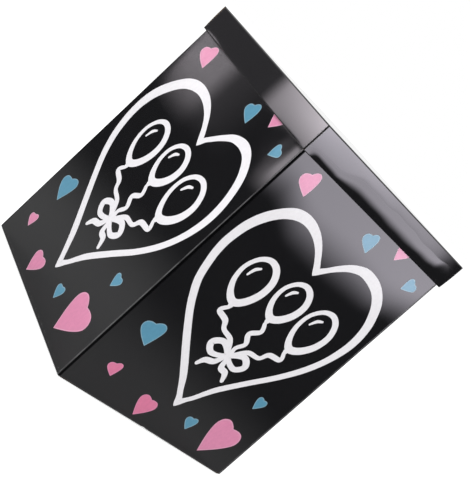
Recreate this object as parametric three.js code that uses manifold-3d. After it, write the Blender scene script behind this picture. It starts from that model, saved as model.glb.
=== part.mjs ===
// Square party box of laminated fluted board, made of a folded tube with four bottom flaps
// and a tray lid whose rims are rolled over their corner tabs.
// Millimetres, +Z up. The origin is the middle of the footprint, on the surface the box stands on.
// The front panel faces -Y, the right panel faces +X.

import * as THREE from 'three';
import { mergeVertices } from 'three/addons/utils/BufferGeometryUtils.js';
import Module from 'manifold-3d';

// Driving dimensions
const BODY_WIDTH = 450;
const BODY_DEPTH = 450;
const TOTAL_HEIGHT = 600;
const BOARD = 1.5;
const CREASE_INNER_RADIUS = 1;
const LID_RIM_HEIGHT = 56;
const LID_PLAY = 1;

// Gaps between plies, beside a folding edge and between flaps that meet
const PLY_GAP = 0.15;
const FOLD_GAP = 0.3;
const MEETING_GAP = 0.3;

// Glue flap inside the back panel
const GLUE_FLAP_WIDTH = 35;
const GLUE_FLAP_INSET = 10;
const GLUE_FLAP_TAPER = 9;

// Bottom flaps
const FLAP_NOTCH_LENGTH = 6;
const FLAP_TAPER = 2;
const FLAP_CORNER_RADIUS = 8;
const OUTER_FLAP_RELIEF = 1;
const INNER_FLAP_RELIEF = 2.5;

// Lid corner tabs and rolled rims
const TAB_LENGTH = 48;
const TAB_CORNER_RADIUS = 12;
const INNER_RIM_BEVEL = 5;

// Plies of board in a side rim and in a front or back rim
const SIDE_RIM_PLIES = 3;
const END_RIM_PLIES = 2;

// Facets of a quarter turn, and how far a cutting outline runs past what it cuts
const QUARTER_STEPS = 8;
const OVERRUN = 2;
const SAME_POINT = 0.0001;

const QUARTER = Math.PI / 2;

// Sizes that follow from the driving dimensions
const halfWidth = BODY_WIDTH / 2;
const halfDepth = BODY_DEPTH / 2;
const creaseRadius = CREASE_INNER_RADIUS + BOARD;
const wallTop = TOTAL_HEIGHT - BOARD;
const sideWallBottom = BOARD + FOLD_GAP;
const rimStack = SIDE_RIM_PLIES * BOARD + (SIDE_RIM_PLIES - 1) * PLY_GAP;
const lidHalfWidth = halfWidth + LID_PLAY + rimStack;
const lidHalfDepth = halfDepth + LID_PLAY + rimStack;
const rimBottom = TOTAL_HEIGHT - LID_RIM_HEIGHT;
const rimFloor = rimBottom + BOARD;
const rimCeiling = TOTAL_HEIGHT - creaseRadius - FOLD_GAP;

// Dark glossy laminate outside, and the brown back of the board on the pieces that show it
const laminate = { color: 0x0b0b0d, roughness: 0.16, metalness: 0 };
const bareBoard = { color: 0xaf906c, roughness: 0.85, metalness: 0 };

const wasm = await Module();
wasm.setup();

// Points of an arc, both ends included
function arc(x, y, radius, from, to) {
  const points = [];
  for (let step = 0; step <= QUARTER_STEPS; step += 1) {
    const angle = from + (to - from) * step / QUARTER_STEPS;
    points.push([x + radius * Math.cos(angle), y + radius * Math.sin(angle)]);
  }
  return points;
}

// Prism of a closed outline, from height 0 upwards, without repeated points
function prism(points, height) {
  const kept = points.filter((point, index) => {
    const before = points[(index + points.length - 1) % points.length];
    return Math.hypot(point[0] - before[0], point[1] - before[1]) > SAME_POINT;
  });
  const shape = new THREE.Shape(kept.map(([x, y]) => new THREE.Vector2(x, y)));
  return new THREE.ExtrudeGeometry(shape, { depth: height, bevelEnabled: false });
}

// Prism of an outline drawn in Y and Z, running along X between two places
function prismAlongX(points, from, to) {
  const geometry = prism(points, to - from);
  const axes = new THREE.Matrix4().makeBasis(
    new THREE.Vector3(0, 1, 0),
    new THREE.Vector3(0, 0, 1),
    new THREE.Vector3(1, 0, 0),
  );
  return geometry.applyMatrix4(axes).translate(from, 0, 0);
}

// Prism of an outline drawn in X and Z, running along Y between two places
function prismAlongY(points, from, to) {
  const swapped = points.map(([x, z]) => [z, x]);
  const axes = new THREE.Matrix4().makeBasis(
    new THREE.Vector3(0, 0, 1),
    new THREE.Vector3(1, 0, 0),
    new THREE.Vector3(0, 1, 0),
  );
  return prism(swapped, to - from).applyMatrix4(axes).translate(0, from, 0);
}

function toSolid(geometry) {
  const bare = geometry.clone();
  bare.deleteAttribute('normal');
  bare.deleteAttribute('uv');
  const merged = mergeVertices(bare);
  return new wasm.Manifold(new wasm.Mesh({
    numProp: 3,
    vertProperties: merged.attributes.position.array,
    triVerts: Uint32Array.from(merged.index.array),
  }));
}

function toGeometry(solid) {
  const mesh = solid.getMesh();
  const geometry = new THREE.BufferGeometry();
  geometry.setAttribute('position', new THREE.BufferAttribute(mesh.vertProperties, 3));
  geometry.setIndex(new THREE.BufferAttribute(mesh.triVerts, 1));
  const faceted = geometry.toNonIndexed();
  faceted.computeVertexNormals();
  return faceted;
}

// What two prisms have in common, such as a folded strip trimmed to its side outline
function common(first, second) {
  return toGeometry(toSolid(first).intersect(toSolid(second)));
}

function piece(name, geometry, finish) {
  const mesh = new THREE.Mesh(geometry, new THREE.MeshStandardMaterial(finish));
  mesh.name = name;
  return mesh;
}

// A group turned about Z by quarter turns, so that its own -Y side faces outwards
function side(quarterTurns, ...members) {
  const group = new THREE.Group();
  group.rotation.z = quarterTurns * QUARTER;
  group.add(...members);
  return group;
}

// Plan outline of a wall whose outer face is at -distance. It starts at startX and ends
// either with a quarter crease round the corner or with a cut edge.
function wallPlan(startX, endX, distance, creased) {
  const outerFace = -distance;
  const innerFace = BOARD - distance;
  const centreX = endX - creaseRadius;
  const centreY = creaseRadius - distance;
  const end = creased
    ? [
      ...arc(centreX, centreY, creaseRadius, -QUARTER, 0),
      ...arc(centreX, centreY, CREASE_INNER_RADIUS, 0, -QUARTER),
    ]
    : [[endX, outerFace], [endX, innerFace]];
  return [[startX, outerFace], ...end, [startX, innerFace]];
}

// Side outline of a wall in Y and Z, its lower outside edge rounded by the bottom crease
function wallSection(distance, bottom) {
  const reach = creaseRadius + OVERRUN - distance;
  return [
    ...arc(BOARD - distance, bottom + BOARD, BOARD, -Math.PI, -QUARTER),
    [reach, bottom],
    [reach, wallTop],
    [-distance, wallTop],
  ];
}

function wall(startX, endX, distance, bottom, creased) {
  const plan = prism(wallPlan(startX, endX, distance, creased), TOTAL_HEIGHT);
  const section = prismAlongX(wallSection(distance, bottom), startX - OVERRUN, endX + OVERRUN);
  return common(plan, section);
}

// Glue flap in the left wall's frame: it folds in behind the back panel, and its ends taper
function glueFlap() {
  const outerX = BOARD - halfDepth;
  const centreX = outerX + creaseRadius;
  const centreY = creaseRadius - halfWidth;
  const edgeY = centreY + GLUE_FLAP_WIDTH;
  const plan = [
    ...arc(centreX, centreY, CREASE_INNER_RADIUS, -QUARTER, -Math.PI),
    [outerX + BOARD, edgeY],
    [outerX, edgeY],
    ...arc(centreX, centreY, creaseRadius, -Math.PI, -QUARTER),
  ];
  const low = sideWallBottom + GLUE_FLAP_INSET;
  const high = wallTop - GLUE_FLAP_INSET;
  const outline = [
    [-halfWidth - OVERRUN, low],
    [centreY, low],
    [edgeY, low + GLUE_FLAP_TAPER],
    [edgeY + OVERRUN, low + GLUE_FLAP_TAPER],
    [edgeY + OVERRUN, high - GLUE_FLAP_TAPER],
    [edgeY, high - GLUE_FLAP_TAPER],
    [centreY, high],
    [-halfWidth - OVERRUN, high],
  ];
  return common(
    prism(plan, TOTAL_HEIGHT),
    prismAlongX(outline, outerX - OVERRUN, centreX + OVERRUN),
  );
}

// Plan outline of a bottom flap. Its hinge edge lies at startY, notched at both ends, and its
// sides taper to a free edge with rounded corners.
function flapPlan(startY, reach, notchHalf, widestHalf) {
  const freeHalf = widestHalf - FLAP_TAPER;
  const cornerX = freeHalf - FLAP_CORNER_RADIUS;
  const cornerY = reach - FLAP_CORNER_RADIUS;
  return [
    [-notchHalf, startY],
    [notchHalf, startY],
    [widestHalf, startY + FLAP_NOTCH_LENGTH],
    ...arc(cornerX, cornerY, FLAP_CORNER_RADIUS, 0, QUARTER),
    ...arc(-cornerX, cornerY, FLAP_CORNER_RADIUS, QUARTER, Math.PI),
    [-widestHalf, startY + FLAP_NOTCH_LENGTH],
  ];
}

// Outer flaps lie on the ground and fold about the lower outside edge of their wall
function outerFlap(name) {
  const plan = flapPlan(
    BOARD + FOLD_GAP,
    halfDepth - MEETING_GAP,
    halfWidth - creaseRadius - FOLD_GAP,
    halfWidth - OUTER_FLAP_RELIEF,
  );
  const flap = piece(name, prism(plan, BOARD), laminate);
  flap.position.y = -halfDepth;
  return flap;
}

// Inner flaps lie on the outer ones and fold about the lower inside edge of their wall
function innerFlap(name) {
  const hingeDistance = halfWidth - BOARD - FOLD_GAP;
  const widestHalf = halfDepth - BOARD - BOARD - INNER_FLAP_RELIEF;
  const plan = flapPlan(0, hingeDistance - MEETING_GAP, widestHalf - INNER_FLAP_RELIEF, widestHalf);
  const flap = piece(name, prism(plan, BOARD), bareBoard);
  flap.position.set(0, -hingeDistance, sideWallBottom);
  return flap;
}

// Section of a lid rim in X and Z, outwards along +X: the crease from the top panel, the wall,
// and the rolled lower edge that is as wide as the plies it holds
function rimSection(lidHalf, rollWidth) {
  const creaseX = lidHalf - creaseRadius;
  const creaseZ = TOTAL_HEIGHT - creaseRadius;
  const innerX = lidHalf - rollWidth;
  return [
    ...arc(creaseX, creaseZ, creaseRadius, 0, QUARTER),
    ...arc(creaseX, creaseZ, CREASE_INNER_RADIUS, QUARTER, 0),
    [lidHalf - BOARD, rimFloor],
    [innerX, rimFloor],
    ...arc(innerX + BOARD, rimFloor, BOARD, Math.PI, QUARTER * 3),
    ...arc(lidHalf - BOARD, rimFloor, BOARD, -QUARTER, 0),
  ];
}

function rollWidth(plies) {
  return plies * BOARD + (plies - 1) * PLY_GAP;
}

// A front or back rim in its own frame, rolled over its whole length
function endRim(halfLength) {
  const section = rimSection(lidHalfDepth, rollWidth(END_RIM_PLIES));
  return prismAlongY(section, -halfLength, halfLength).rotateZ(-QUARTER);
}

// A side rim in its own frame. Its wall runs past the ends of the front and back rims, and its
// rolled edge stops short of them.
function sideRim(halfLength, rollHalf) {
  const section = rimSection(lidHalfWidth, rollWidth(SIDE_RIM_PLIES));
  const wallFace = lidHalfWidth - BOARD;
  const rollEdge = lidHalfWidth - rollWidth(SIDE_RIM_PLIES) - OVERRUN;
  const beyond = halfLength + OVERRUN;
  let folded = toSolid(prismAlongY(section, -halfLength, halfLength));
  for (const [from, to] of [[-beyond, -rollHalf], [rollHalf, beyond]]) {
    const corner = [[rollEdge, from], [wallFace, from], [wallFace, to], [rollEdge, to]];
    const block = prism(corner, BOARD + OVERRUN + OVERRUN).translate(0, 0, rimBottom - OVERRUN);
    folded = folded.subtract(toSolid(block));
  }
  return toGeometry(folded).rotateZ(-QUARTER);
}

// Inner wall of a rolled rim in the rim's frame, its ends bevelled towards the lid's top
function innerRim(lidHalf, plies, halfLength) {
  const face = rollWidth(plies) - lidHalf;
  const outline = [
    [-halfLength, rimFloor],
    [halfLength, rimFloor],
    [halfLength, rimCeiling - INNER_RIM_BEVEL],
    [halfLength - INNER_RIM_BEVEL, rimCeiling],
    [INNER_RIM_BEVEL - halfLength, rimCeiling],
    [-halfLength, rimCeiling - INNER_RIM_BEVEL],
  ];
  return prismAlongY(outline, face - BOARD, face);
}

// Corner tab at the right end of a front or back rim, in that rim's frame: it folds round the
// corner and lies between the side rim and its inner wall
function cornerTab() {
  const outerX = lidHalfWidth - BOARD - PLY_GAP;
  const centreX = outerX - creaseRadius;
  const centreY = creaseRadius - lidHalfDepth;
  const endY = centreY + TAB_LENGTH;
  const plan = [
    ...arc(centreX, centreY, creaseRadius, -QUARTER, 0),
    [outerX, endY],
    [outerX - BOARD, endY],
    ...arc(centreX, centreY, CREASE_INNER_RADIUS, 0, -QUARTER),
  ];
  const low = rimFloor + PLY_GAP;
  const high = rimCeiling;
  const roundY = endY - TAB_CORNER_RADIUS;
  const outline = [
    [-lidHalfDepth - OVERRUN, low],
    ...arc(roundY, low + TAB_CORNER_RADIUS, TAB_CORNER_RADIUS, -QUARTER, 0),
    ...arc(roundY, high - TAB_CORNER_RADIUS, TAB_CORNER_RADIUS, 0, QUARTER),
    [-lidHalfDepth - OVERRUN, high],
  ];
  return common(
    prism(plan, TOTAL_HEIGHT),
    prismAlongX(outline, centreX - OVERRUN, outerX + OVERRUN),
  );
}

// The same tab for the left end of the rim
function mirroredX(geometry) {
  const solid = toSolid(geometry).mirror([1, 0, 0]);
  return toGeometry(solid);
}

function makeBody() {
  const body = new THREE.Group();
  const front = wall(creaseRadius - halfWidth, halfWidth, halfDepth, 0, true);
  const right = wall(creaseRadius - halfDepth, halfDepth, halfWidth, sideWallBottom, true);
  const back = wall(creaseRadius - halfWidth, halfWidth, halfDepth, 0, false);
  const leftStart = BOARD + creaseRadius - halfDepth;
  const left = wall(leftStart, halfDepth, halfWidth, sideWallBottom, true);
  body.add(
    side(0, piece('front_panel', front, laminate)),
    side(1, piece('right_panel', right, laminate)),
    side(2, piece('back_panel', back, laminate)),
    side(3, piece('left_panel', left, laminate), piece('glue_flap', glueFlap(), bareBoard)),
  );
  return body;
}

function makeBottom() {
  const bottom = new THREE.Group();
  bottom.add(
    side(0, outerFlap('bottom_flap_front')),
    side(1, innerFlap('bottom_flap_right')),
    side(2, outerFlap('bottom_flap_back')),
    side(3, innerFlap('bottom_flap_left')),
  );
  return bottom;
}

function makeLid() {
  const lid = new THREE.Group();
  const topHalfX = lidHalfWidth - creaseRadius;
  const topHalfY = lidHalfDepth - creaseRadius;
  const top = prism(
    [[-topHalfX, -topHalfY], [topHalfX, -topHalfY], [topHalfX, topHalfY], [-topHalfX, topHalfY]],
    BOARD,
  ).translate(0, 0, wallTop);
  lid.add(piece('lid_top_panel', top, laminate));

  const endRimHalf = topHalfX - BOARD - PLY_GAP;
  const endInnerHalf = endRimHalf - FOLD_GAP;
  const sideRimHalf = lidHalfDepth - FOLD_GAP;
  const sideInnerHalf = lidHalfDepth - rollWidth(END_RIM_PLIES) - FOLD_GAP;
  const ends = [['front', 0, 'left', 'right'], ['back', 2, 'right', 'left']];
  for (const [end, turns, leftSide, rightSide] of ends) {
    lid.add(side(
      turns,
      piece(`lid_rim_${end}`, endRim(endRimHalf), laminate),
      piece(`lid_inner_rim_${end}`, innerRim(lidHalfDepth, END_RIM_PLIES, endInnerHalf), laminate),
      piece(`lid_tab_${end}_${leftSide}`, mirroredX(cornerTab()), laminate),
      piece(`lid_tab_${end}_${rightSide}`, cornerTab(), laminate),
    ));
  }
  for (const [flank, turns] of [['right', 1], ['left', 3]]) {
    lid.add(side(
      turns,
      piece(`lid_rim_${flank}`, sideRim(sideRimHalf, sideInnerHalf), laminate),
      piece(`lid_inner_rim_${flank}`, innerRim(lidHalfWidth, SIDE_RIM_PLIES, sideInnerHalf), laminate),
    ));
  }
  return lid;
}

const box = new THREE.Group();
box.name = 'party_box';
box.add(makeBody(), makeBottom(), makeLid());

export default box;
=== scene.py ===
"""A square party box of glossy black laminated board with a deep tray lid.

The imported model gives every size. This script gives the board its printed face, kraft back and
fluted cut edges, draws the hearts on the four sides and lights the box in a plain white studio.
"""

import logging
import math
import random
from collections.abc import Sequence
from dataclasses import dataclass, field
from enum import Enum

import bmesh
import bpy
from mathutils import Matrix, Vector


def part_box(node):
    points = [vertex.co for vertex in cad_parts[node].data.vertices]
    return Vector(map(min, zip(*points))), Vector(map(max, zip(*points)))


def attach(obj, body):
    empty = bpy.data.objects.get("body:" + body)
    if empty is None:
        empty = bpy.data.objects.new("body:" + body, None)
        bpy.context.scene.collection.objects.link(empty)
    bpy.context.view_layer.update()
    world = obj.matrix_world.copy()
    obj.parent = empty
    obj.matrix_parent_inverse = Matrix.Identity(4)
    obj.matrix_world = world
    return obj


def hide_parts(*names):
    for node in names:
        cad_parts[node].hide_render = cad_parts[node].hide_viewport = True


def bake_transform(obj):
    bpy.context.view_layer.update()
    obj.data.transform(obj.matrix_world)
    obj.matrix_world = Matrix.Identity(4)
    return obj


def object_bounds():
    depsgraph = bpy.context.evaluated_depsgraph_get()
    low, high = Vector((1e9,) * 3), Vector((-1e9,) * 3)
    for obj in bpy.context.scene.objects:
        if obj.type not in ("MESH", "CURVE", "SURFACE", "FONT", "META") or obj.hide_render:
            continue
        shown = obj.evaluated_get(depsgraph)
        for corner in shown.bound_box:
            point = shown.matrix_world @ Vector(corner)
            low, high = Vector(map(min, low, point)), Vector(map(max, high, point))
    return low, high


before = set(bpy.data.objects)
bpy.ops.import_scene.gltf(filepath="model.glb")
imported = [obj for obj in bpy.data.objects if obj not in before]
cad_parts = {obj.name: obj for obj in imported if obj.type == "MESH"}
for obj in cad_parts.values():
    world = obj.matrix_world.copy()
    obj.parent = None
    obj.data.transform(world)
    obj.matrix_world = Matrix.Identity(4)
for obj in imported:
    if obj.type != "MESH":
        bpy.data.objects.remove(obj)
CAD_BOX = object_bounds()
MM = 0.001
QUARTER = math.pi / 2
LOG = logging.getLogger("party_box")

Point2 = tuple[float, float]
Row = tuple[float, float, float, float]

# A place this little past the end of a stretch still counts as on it.
SLACK = 1e-12
# An edge across which the surface turns by more than this stays sharp.
SHARP_ANGLE = math.radians(35)
BOARD_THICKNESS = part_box("lid_top_panel")[1].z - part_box("lid_top_panel")[0].z
CREASE_INNER = 1 * MM
CREASE_OUTER = CREASE_INNER + BOARD_THICKNESS
FLUTE_PITCH = 3.3 * MM
# Widest spacing of the points of a flat panel, and the number of steps round a crease.
GRID = 9 * MM
TURN_STEPS = 7
# How close to a bend the extra points lie that hold the flats beside it flat.
HOLD = 0.25 * MM
HOLD_ANGLE = math.radians(1.5)


class Side(Enum):
    """A side of the box, with its quarter turns about Z from the front."""

    FRONT = 0
    RIGHT = 1
    BACK = 2
    LEFT = 3

    @property
    def word(self) -> str:
        """The side's name in the pieces' names."""
        return self.name.lower()

    @property
    def inverse(self) -> "Side":
        """The side whose turns undo the turns of this one."""
        return Side(-self.value % len(Side))

    def turned(self, x: float, y: float, z: float) -> Vector:
        """Turn a point of the side's own frame, in which outwards is -Y, into the box's frame.

        Args:
            x: Place along the side, to the right as seen from outside.
            y: Place inwards.
            z: Height.

        Returns:
            The point in the box's frame.
        """
        cosine = (1, 0, -1, 0)[self.value]
        sine = (0, 1, 0, -1)[self.value]
        return Vector((cosine * x - sine * y, sine * x + cosine * y, z))

    def own_box(self, node: str) -> tuple[Vector, Vector]:
        """Find the corners of a node in the side's own frame.

        Args:
            node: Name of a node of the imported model.

        Returns:
            The lowest and the highest corner.
        """
        low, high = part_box(node)
        first, second = self.inverse.turned(*low), self.inverse.turned(*high)
        return Vector(map(min, first, second)), Vector(map(max, first, second))


class Coat(Enum):
    """The finish of a face of a board, as its material slot on the piece."""

    PRINT = 0
    BACK = 1
    EDGE = 2
    PRESSED = 3


def smooth_step(share: float) -> float:
    """A share from 0 to 1, eased at both ends."""
    held = min(1.0, max(0.0, share))
    return held * held * (3 - 2 * held)


def spread(start: float, end: float, step: float) -> list[float]:
    """Evenly spaced places from a start to an end, both included, at most a step apart."""
    count = max(1, math.ceil(abs(end - start) / step))
    return [start + (end - start) * index / count for index in range(count + 1)]


def along_path(path: Sequence[Point2], count: int) -> list[Point2]:
    """Space points evenly along a path.

    Args:
        path: Corners of the path.
        count: Number of points.

    Returns:
        The points, both ends included.
    """
    lengths = [math.dist(a, b) for a, b in zip(path, path[1:])]
    total = sum(lengths)
    points = []
    for index in range(count):
        left = total * index / (count - 1)
        for (start, end), length in zip(zip(path, path[1:]), lengths):
            if left <= length + SLACK:
                break
            left -= length
        share = min(1.0, left / length)
        points.append((start[0] + (end[0] - start[0]) * share, start[1] + (end[1] - start[1]) * share))
    return points


@dataclass
class Wave:
    """The slow unevenness of a laminated panel, which fades out at its borders."""

    seed: int
    height: float
    low: Point2
    high: Point2
    length: float = 230 * MM
    border: float = 45 * MM
    terms: int = 5
    rates: Point2 = (0.6, 1.5)

    def __post_init__(self) -> None:
        """Draw the waves that add up to the unevenness: their two rates and their phase."""
        draw = random.Random(self.seed)
        self.parts = []
        for _ in range(self.terms):
            angle = draw.uniform(0, math.pi)
            rate = math.tau * draw.uniform(*self.rates) / self.length
            self.parts.append((rate * math.cos(angle), rate * math.sin(angle), draw.uniform(0, math.tau)))

    def at(self, x: float, z: float) -> float:
        """How far the panel stands out at a place.

        Args:
            x: Place along the panel.
            z: Place up the panel.

        Returns:
            The distance outwards.
        """
        total = sum(math.sin(rate_x * x + rate_z * z + phase) for rate_x, rate_z, phase in self.parts)
        reach = min(x - self.low[0], self.high[0] - x, z - self.low[1], self.high[1] - z)
        return self.height * total / math.sqrt(self.terms) * smooth_step(reach / self.border)


class Tree:
    """A node tree that is built one node at a time."""

    def __init__(self, tree: bpy.types.NodeTree) -> None:
        """Empty the tree."""
        self.tree = tree
        tree.nodes.clear()

    def add(self, kind: str, inputs: dict | None = None, **settings: object) -> bpy.types.Node:
        """Add a node.

        Args:
            kind: Blender's name of the node type.
            inputs: Sockets to link, or constants, by the input's name or number.
            settings: Attributes of the node.

        Returns:
            The new node.
        """
        node = self.tree.nodes.new(kind)
        for name, value in settings.items():
            setattr(node, name, value)
        for key, value in (inputs or {}).items():
            if isinstance(value, bpy.types.NodeSocket):
                self.tree.links.new(value, node.inputs[key])
            else:
                node.inputs[key].default_value = value
        return node

    def sum(self, operation: str, *terms: object) -> bpy.types.NodeSocket:
        """The result of a Math node over sockets and numbers."""
        return self.add("ShaderNodeMath", dict(enumerate(terms)), operation=operation).outputs[0]

    def between(self, value: object, low: float, high: float, start: float = 0, end: float = 1) -> object:
        """The value eased from one range to another, as a socket."""
        places = {"Value": value, 1: low, 2: high, 3: start, 4: end}
        return self.add("ShaderNodeMapRange", places, interpolation_type="SMOOTHSTEP").outputs[0]

    def blend(self, share: object, first: object, second: object) -> bpy.types.NodeSocket:
        """A colour between two colours or sockets."""
        node = self.add("ShaderNodeMix", {0: share, 6: first, 7: second}, data_type="RGBA")
        return node.outputs[2]

    def noise(self, place: object, scale: float, detail: float = 2) -> bpy.types.NodeSocket:
        """The value of a noise texture at a place."""
        inputs = {"Vector": place, "Scale": scale, "Detail": detail}
        return self.add("ShaderNodeTexNoise", inputs).outputs[0]

    def flutes(self, along: object) -> bpy.types.NodeSocket:
        """The wave of the board's flutes, from -1 to 1, at a place along the piece."""
        return self.sum("SINE", self.sum("MULTIPLY", along, math.tau / FLUTE_PITCH))

    def relief(self, height: object, strength: float = 1.0) -> bpy.types.NodeSocket:
        """The normal of a surface with a height in metres."""
        inputs = {"Height": height, "Distance": 1.0, "Strength": strength}
        return self.add("ShaderNodeBump", inputs).outputs[0]

    def surface(self, inputs: dict) -> None:
        """Add the shader of an opaque surface and give it out."""
        shader = self.add("ShaderNodeBsdfPrincipled", inputs)
        self.add("ShaderNodeOutputMaterial", {0: shader.outputs[0]})


class Finish:
    """A finish whose material is made once and then shared."""

    made: dict[str, bpy.types.Material] = {}

    def title(self) -> str:
        """Name of the material."""
        return type(self).__name__

    def dress(self, tree: Tree) -> None:
        """Add the nodes of the finish to its tree."""
        raise NotImplementedError

    def material(self) -> bpy.types.Material:
        """Find the finish's material, which is made on first use.

        Returns:
            The material.
        """
        title = self.title()
        if title not in Finish.made:
            material = bpy.data.materials.new(title)
            material.use_nodes = True
            self.dress(Tree(material.node_tree))
            Finish.made[title] = material
        return Finish.made[title]


def surface_nodes(tree: Tree) -> tuple[object, object, object]:
    """Add the nodes that read a piece's place in metres.

    Args:
        tree: Tree of the finish.

    Returns:
        The sockets of the map's vector, its part along the piece and its part across it.
    """
    place = tree.add("ShaderNodeUVMap", uv_map="metres").outputs[0]
    parts = tree.add("ShaderNodeSeparateXYZ", {0: place})
    return place, parts.outputs[0], parts.outputs[1]


@dataclass(frozen=True)
class Laminate(Finish):
    """Printed board under a glossy film, with a faint washboard from the flutes below.

    At a crease the piece's own fold value paints the film: a pale painted highlight line above 0,
    and painted shade below 0. The stretch with painted shade is a finish of its own, with a lower
    gloss.
    """

    name: str = "laminate"
    gloss: float = 0.5
    colour: tuple = (0.0075, 0.0075, 0.0085, 1)
    # Grey of the worn borders and of the painted highlight line at a crease.
    scuff_and_highlight_grey: tuple = (0.11, 0.11, 0.112, 1)
    # Painted shade: the darker black of the crease.
    creased: tuple = (0.0018, 0.0018, 0.002, 1)
    roughness: float = 0.035
    smudged: float = 0.055
    worn_roughness: float = 0.4
    ior: float = 1.5
    peel_scale: float = 260
    peel_height: float = 0.0012 * MM
    smudge_scale: float = 9
    smudge_range: Point2 = (0.45, 0.75)
    scuff_scale: float = 420
    scuff_range: Point2 = (0.5, 0.72)
    # Scale and range of the noise that breaks up the painted highlight at a crease.
    fold_scale: float = 30
    fold_range: Row = (0.3, 0.6, 0.35, 1)
    flute_height: float = 0.00022 * MM

    def title(self) -> str:
        """Name of the material."""
        return self.name

    def dress(self, tree: Tree) -> None:
        """Add the gloss, smudges, wear, painted highlight and shade at creases, and the washboard.

        Args:
            tree: Tree of the finish, which is empty.
        """
        place, along, _ = surface_nodes(tree)
        smudge = tree.between(tree.noise(place, self.smudge_scale, detail=4), *self.smudge_range)
        worn = tree.add("ShaderNodeAttribute", attribute_name="wear").outputs["Fac"]
        speckle = tree.between(tree.noise(place, self.scuff_scale, detail=3), *self.scuff_range)
        fold = tree.add("ShaderNodeAttribute", attribute_name="fold").outputs["Fac"]
        # Noise that breaks up the painted highlight line at a crease.
        painted_highlight_breaks = tree.between(tree.noise(place, self.fold_scale, detail=2), *self.fold_range)
        # Painted shade: full where the fold value is -1, none at 0.
        pressed = tree.between(fold, -1, 0, 1, 0)
        raised = tree.sum("SUBTRACT", 1, pressed)
        rubbed = tree.sum("MULTIPLY", tree.sum("MULTIPLY", worn, speckle), raised)
        # Wear at the borders, and the painted highlight where the fold value is above 0.
        scuff_and_painted_highlight = tree.sum("MAXIMUM", rubbed, tree.sum("MULTIPLY", fold, painted_highlight_breaks))
        film = tree.between(smudge, 0, 1, self.roughness, self.smudged)
        rough = tree.sum("MULTIPLY_ADD", scuff_and_painted_highlight, self.worn_roughness, film)
        flutes = tree.sum("MULTIPLY", tree.flutes(along), self.flute_height)
        peel = tree.sum("MULTIPLY", tree.noise(place, self.peel_scale, detail=2), self.peel_height)
        # Painted shade: the black darkened in the crease.
        black = tree.blend(pressed, self.colour, self.creased)
        tree.surface({
            "Base Color": tree.blend(scuff_and_painted_highlight, black, self.scuff_and_highlight_grey),
            "Roughness": rough,
            "IOR": self.ior,
            "Specular IOR Level": self.gloss,
            "Normal": tree.relief(tree.sum("ADD", flutes, peel)),
        })


@dataclass(frozen=True)
class Ink(Finish):
    """Opaque ink under the same film, with the brush's faint grain."""

    name: str
    colour: tuple
    shade: float = 0.93
    roughness: float = 0.06
    grain_scale: float = 380
    cloud_scale: float = 190
    cloud_weight: float = 1.6
    mottle_range: Point2 = (0.9, 1.7)
    streak: tuple = (1, 0.5, 1)
    grain_height: float = 0.003 * MM
    gloss: float = 0.42

    def title(self) -> str:
        """Name of the material."""
        return f"ink_{self.name}"

    def dress(self, tree: Tree) -> None:
        """Add the ink's colour, mottled by a fine grain and a broad cloud.

        Args:
            tree: Tree of the finish, which is empty.
        """
        place, _, _ = surface_nodes(tree)
        grain = tree.noise(place, self.grain_scale, detail=3)
        drawn = tree.add("ShaderNodeMapping", {"Vector": place, "Scale": self.streak}).outputs[0]
        cloud = tree.noise(drawn, self.cloud_scale, detail=3)
        mixed = tree.sum("MULTIPLY_ADD", cloud, self.cloud_weight, grain)
        darker = tuple(part * self.shade for part in self.colour[:3]) + (1,)
        tree.surface({
            "Base Color": tree.blend(tree.between(mixed, *self.mottle_range), darker, self.colour),
            "Roughness": self.roughness,
            "Specular IOR Level": self.gloss,
            "Normal": tree.relief(tree.sum("MULTIPLY", grain, self.grain_height)),
        })


@dataclass(frozen=True)
class Kraft(Finish):
    """The unprinted back of the board: brown paper with fibres and flute lines."""

    light: tuple = (0.47, 0.31, 0.17, 1)
    dark: tuple = (0.33, 0.2, 0.1, 1)
    fleck: tuple = (0.16, 0.09, 0.045, 1)
    roughness: float = 0.82
    gloss: float = 0.3
    fibre_scale: float = 900
    fibre_stretch: tuple = (1, 0.22, 1)
    fibre_weight: float = 0.5
    cloud_scale: float = 22
    cloud_weight: float = 0.6
    flute_weight: float = 0.05
    tone_range: Point2 = (0.35, 0.8)
    fleck_scale: float = 650
    fleck_range: Point2 = (0.7, 0.76)
    flute_height: float = 0.02 * MM
    fibre_height: float = 0.015 * MM
    strength: float = 0.6

    def dress(self, tree: Tree) -> None:
        """Add the paper's clouds, fibres, flecks and washboard.

        Args:
            tree: Tree of the finish, which is empty.
        """
        place, along, _ = surface_nodes(tree)
        stretch = {"Vector": place, "Scale": self.fibre_stretch}
        stretched = tree.add("ShaderNodeMapping", stretch).outputs[0]
        fibre = tree.noise(stretched, self.fibre_scale, detail=3)
        cloud = tree.noise(place, self.cloud_scale, detail=4)
        wave = tree.flutes(along)
        fibres = tree.sum("MULTIPLY", fibre, self.fibre_weight)
        mix = tree.sum("MULTIPLY_ADD", cloud, self.cloud_weight, fibres)
        tone = tree.sum("MULTIPLY_ADD", wave, self.flute_weight, mix)
        paper = tree.blend(tree.between(tone, *self.tone_range), self.dark, self.light)
        flecks = tree.between(tree.noise(place, self.fleck_scale, detail=1), *self.fleck_range)
        raised = tree.sum("MULTIPLY", fibre, self.fibre_height)
        height = tree.sum("MULTIPLY_ADD", wave, self.flute_height, raised)
        tree.surface({
            "Base Color": tree.blend(flecks, paper, self.fleck),
            "Roughness": self.roughness,
            "Specular IOR Level": self.gloss,
            "Normal": tree.relief(height, self.strength),
        })


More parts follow.
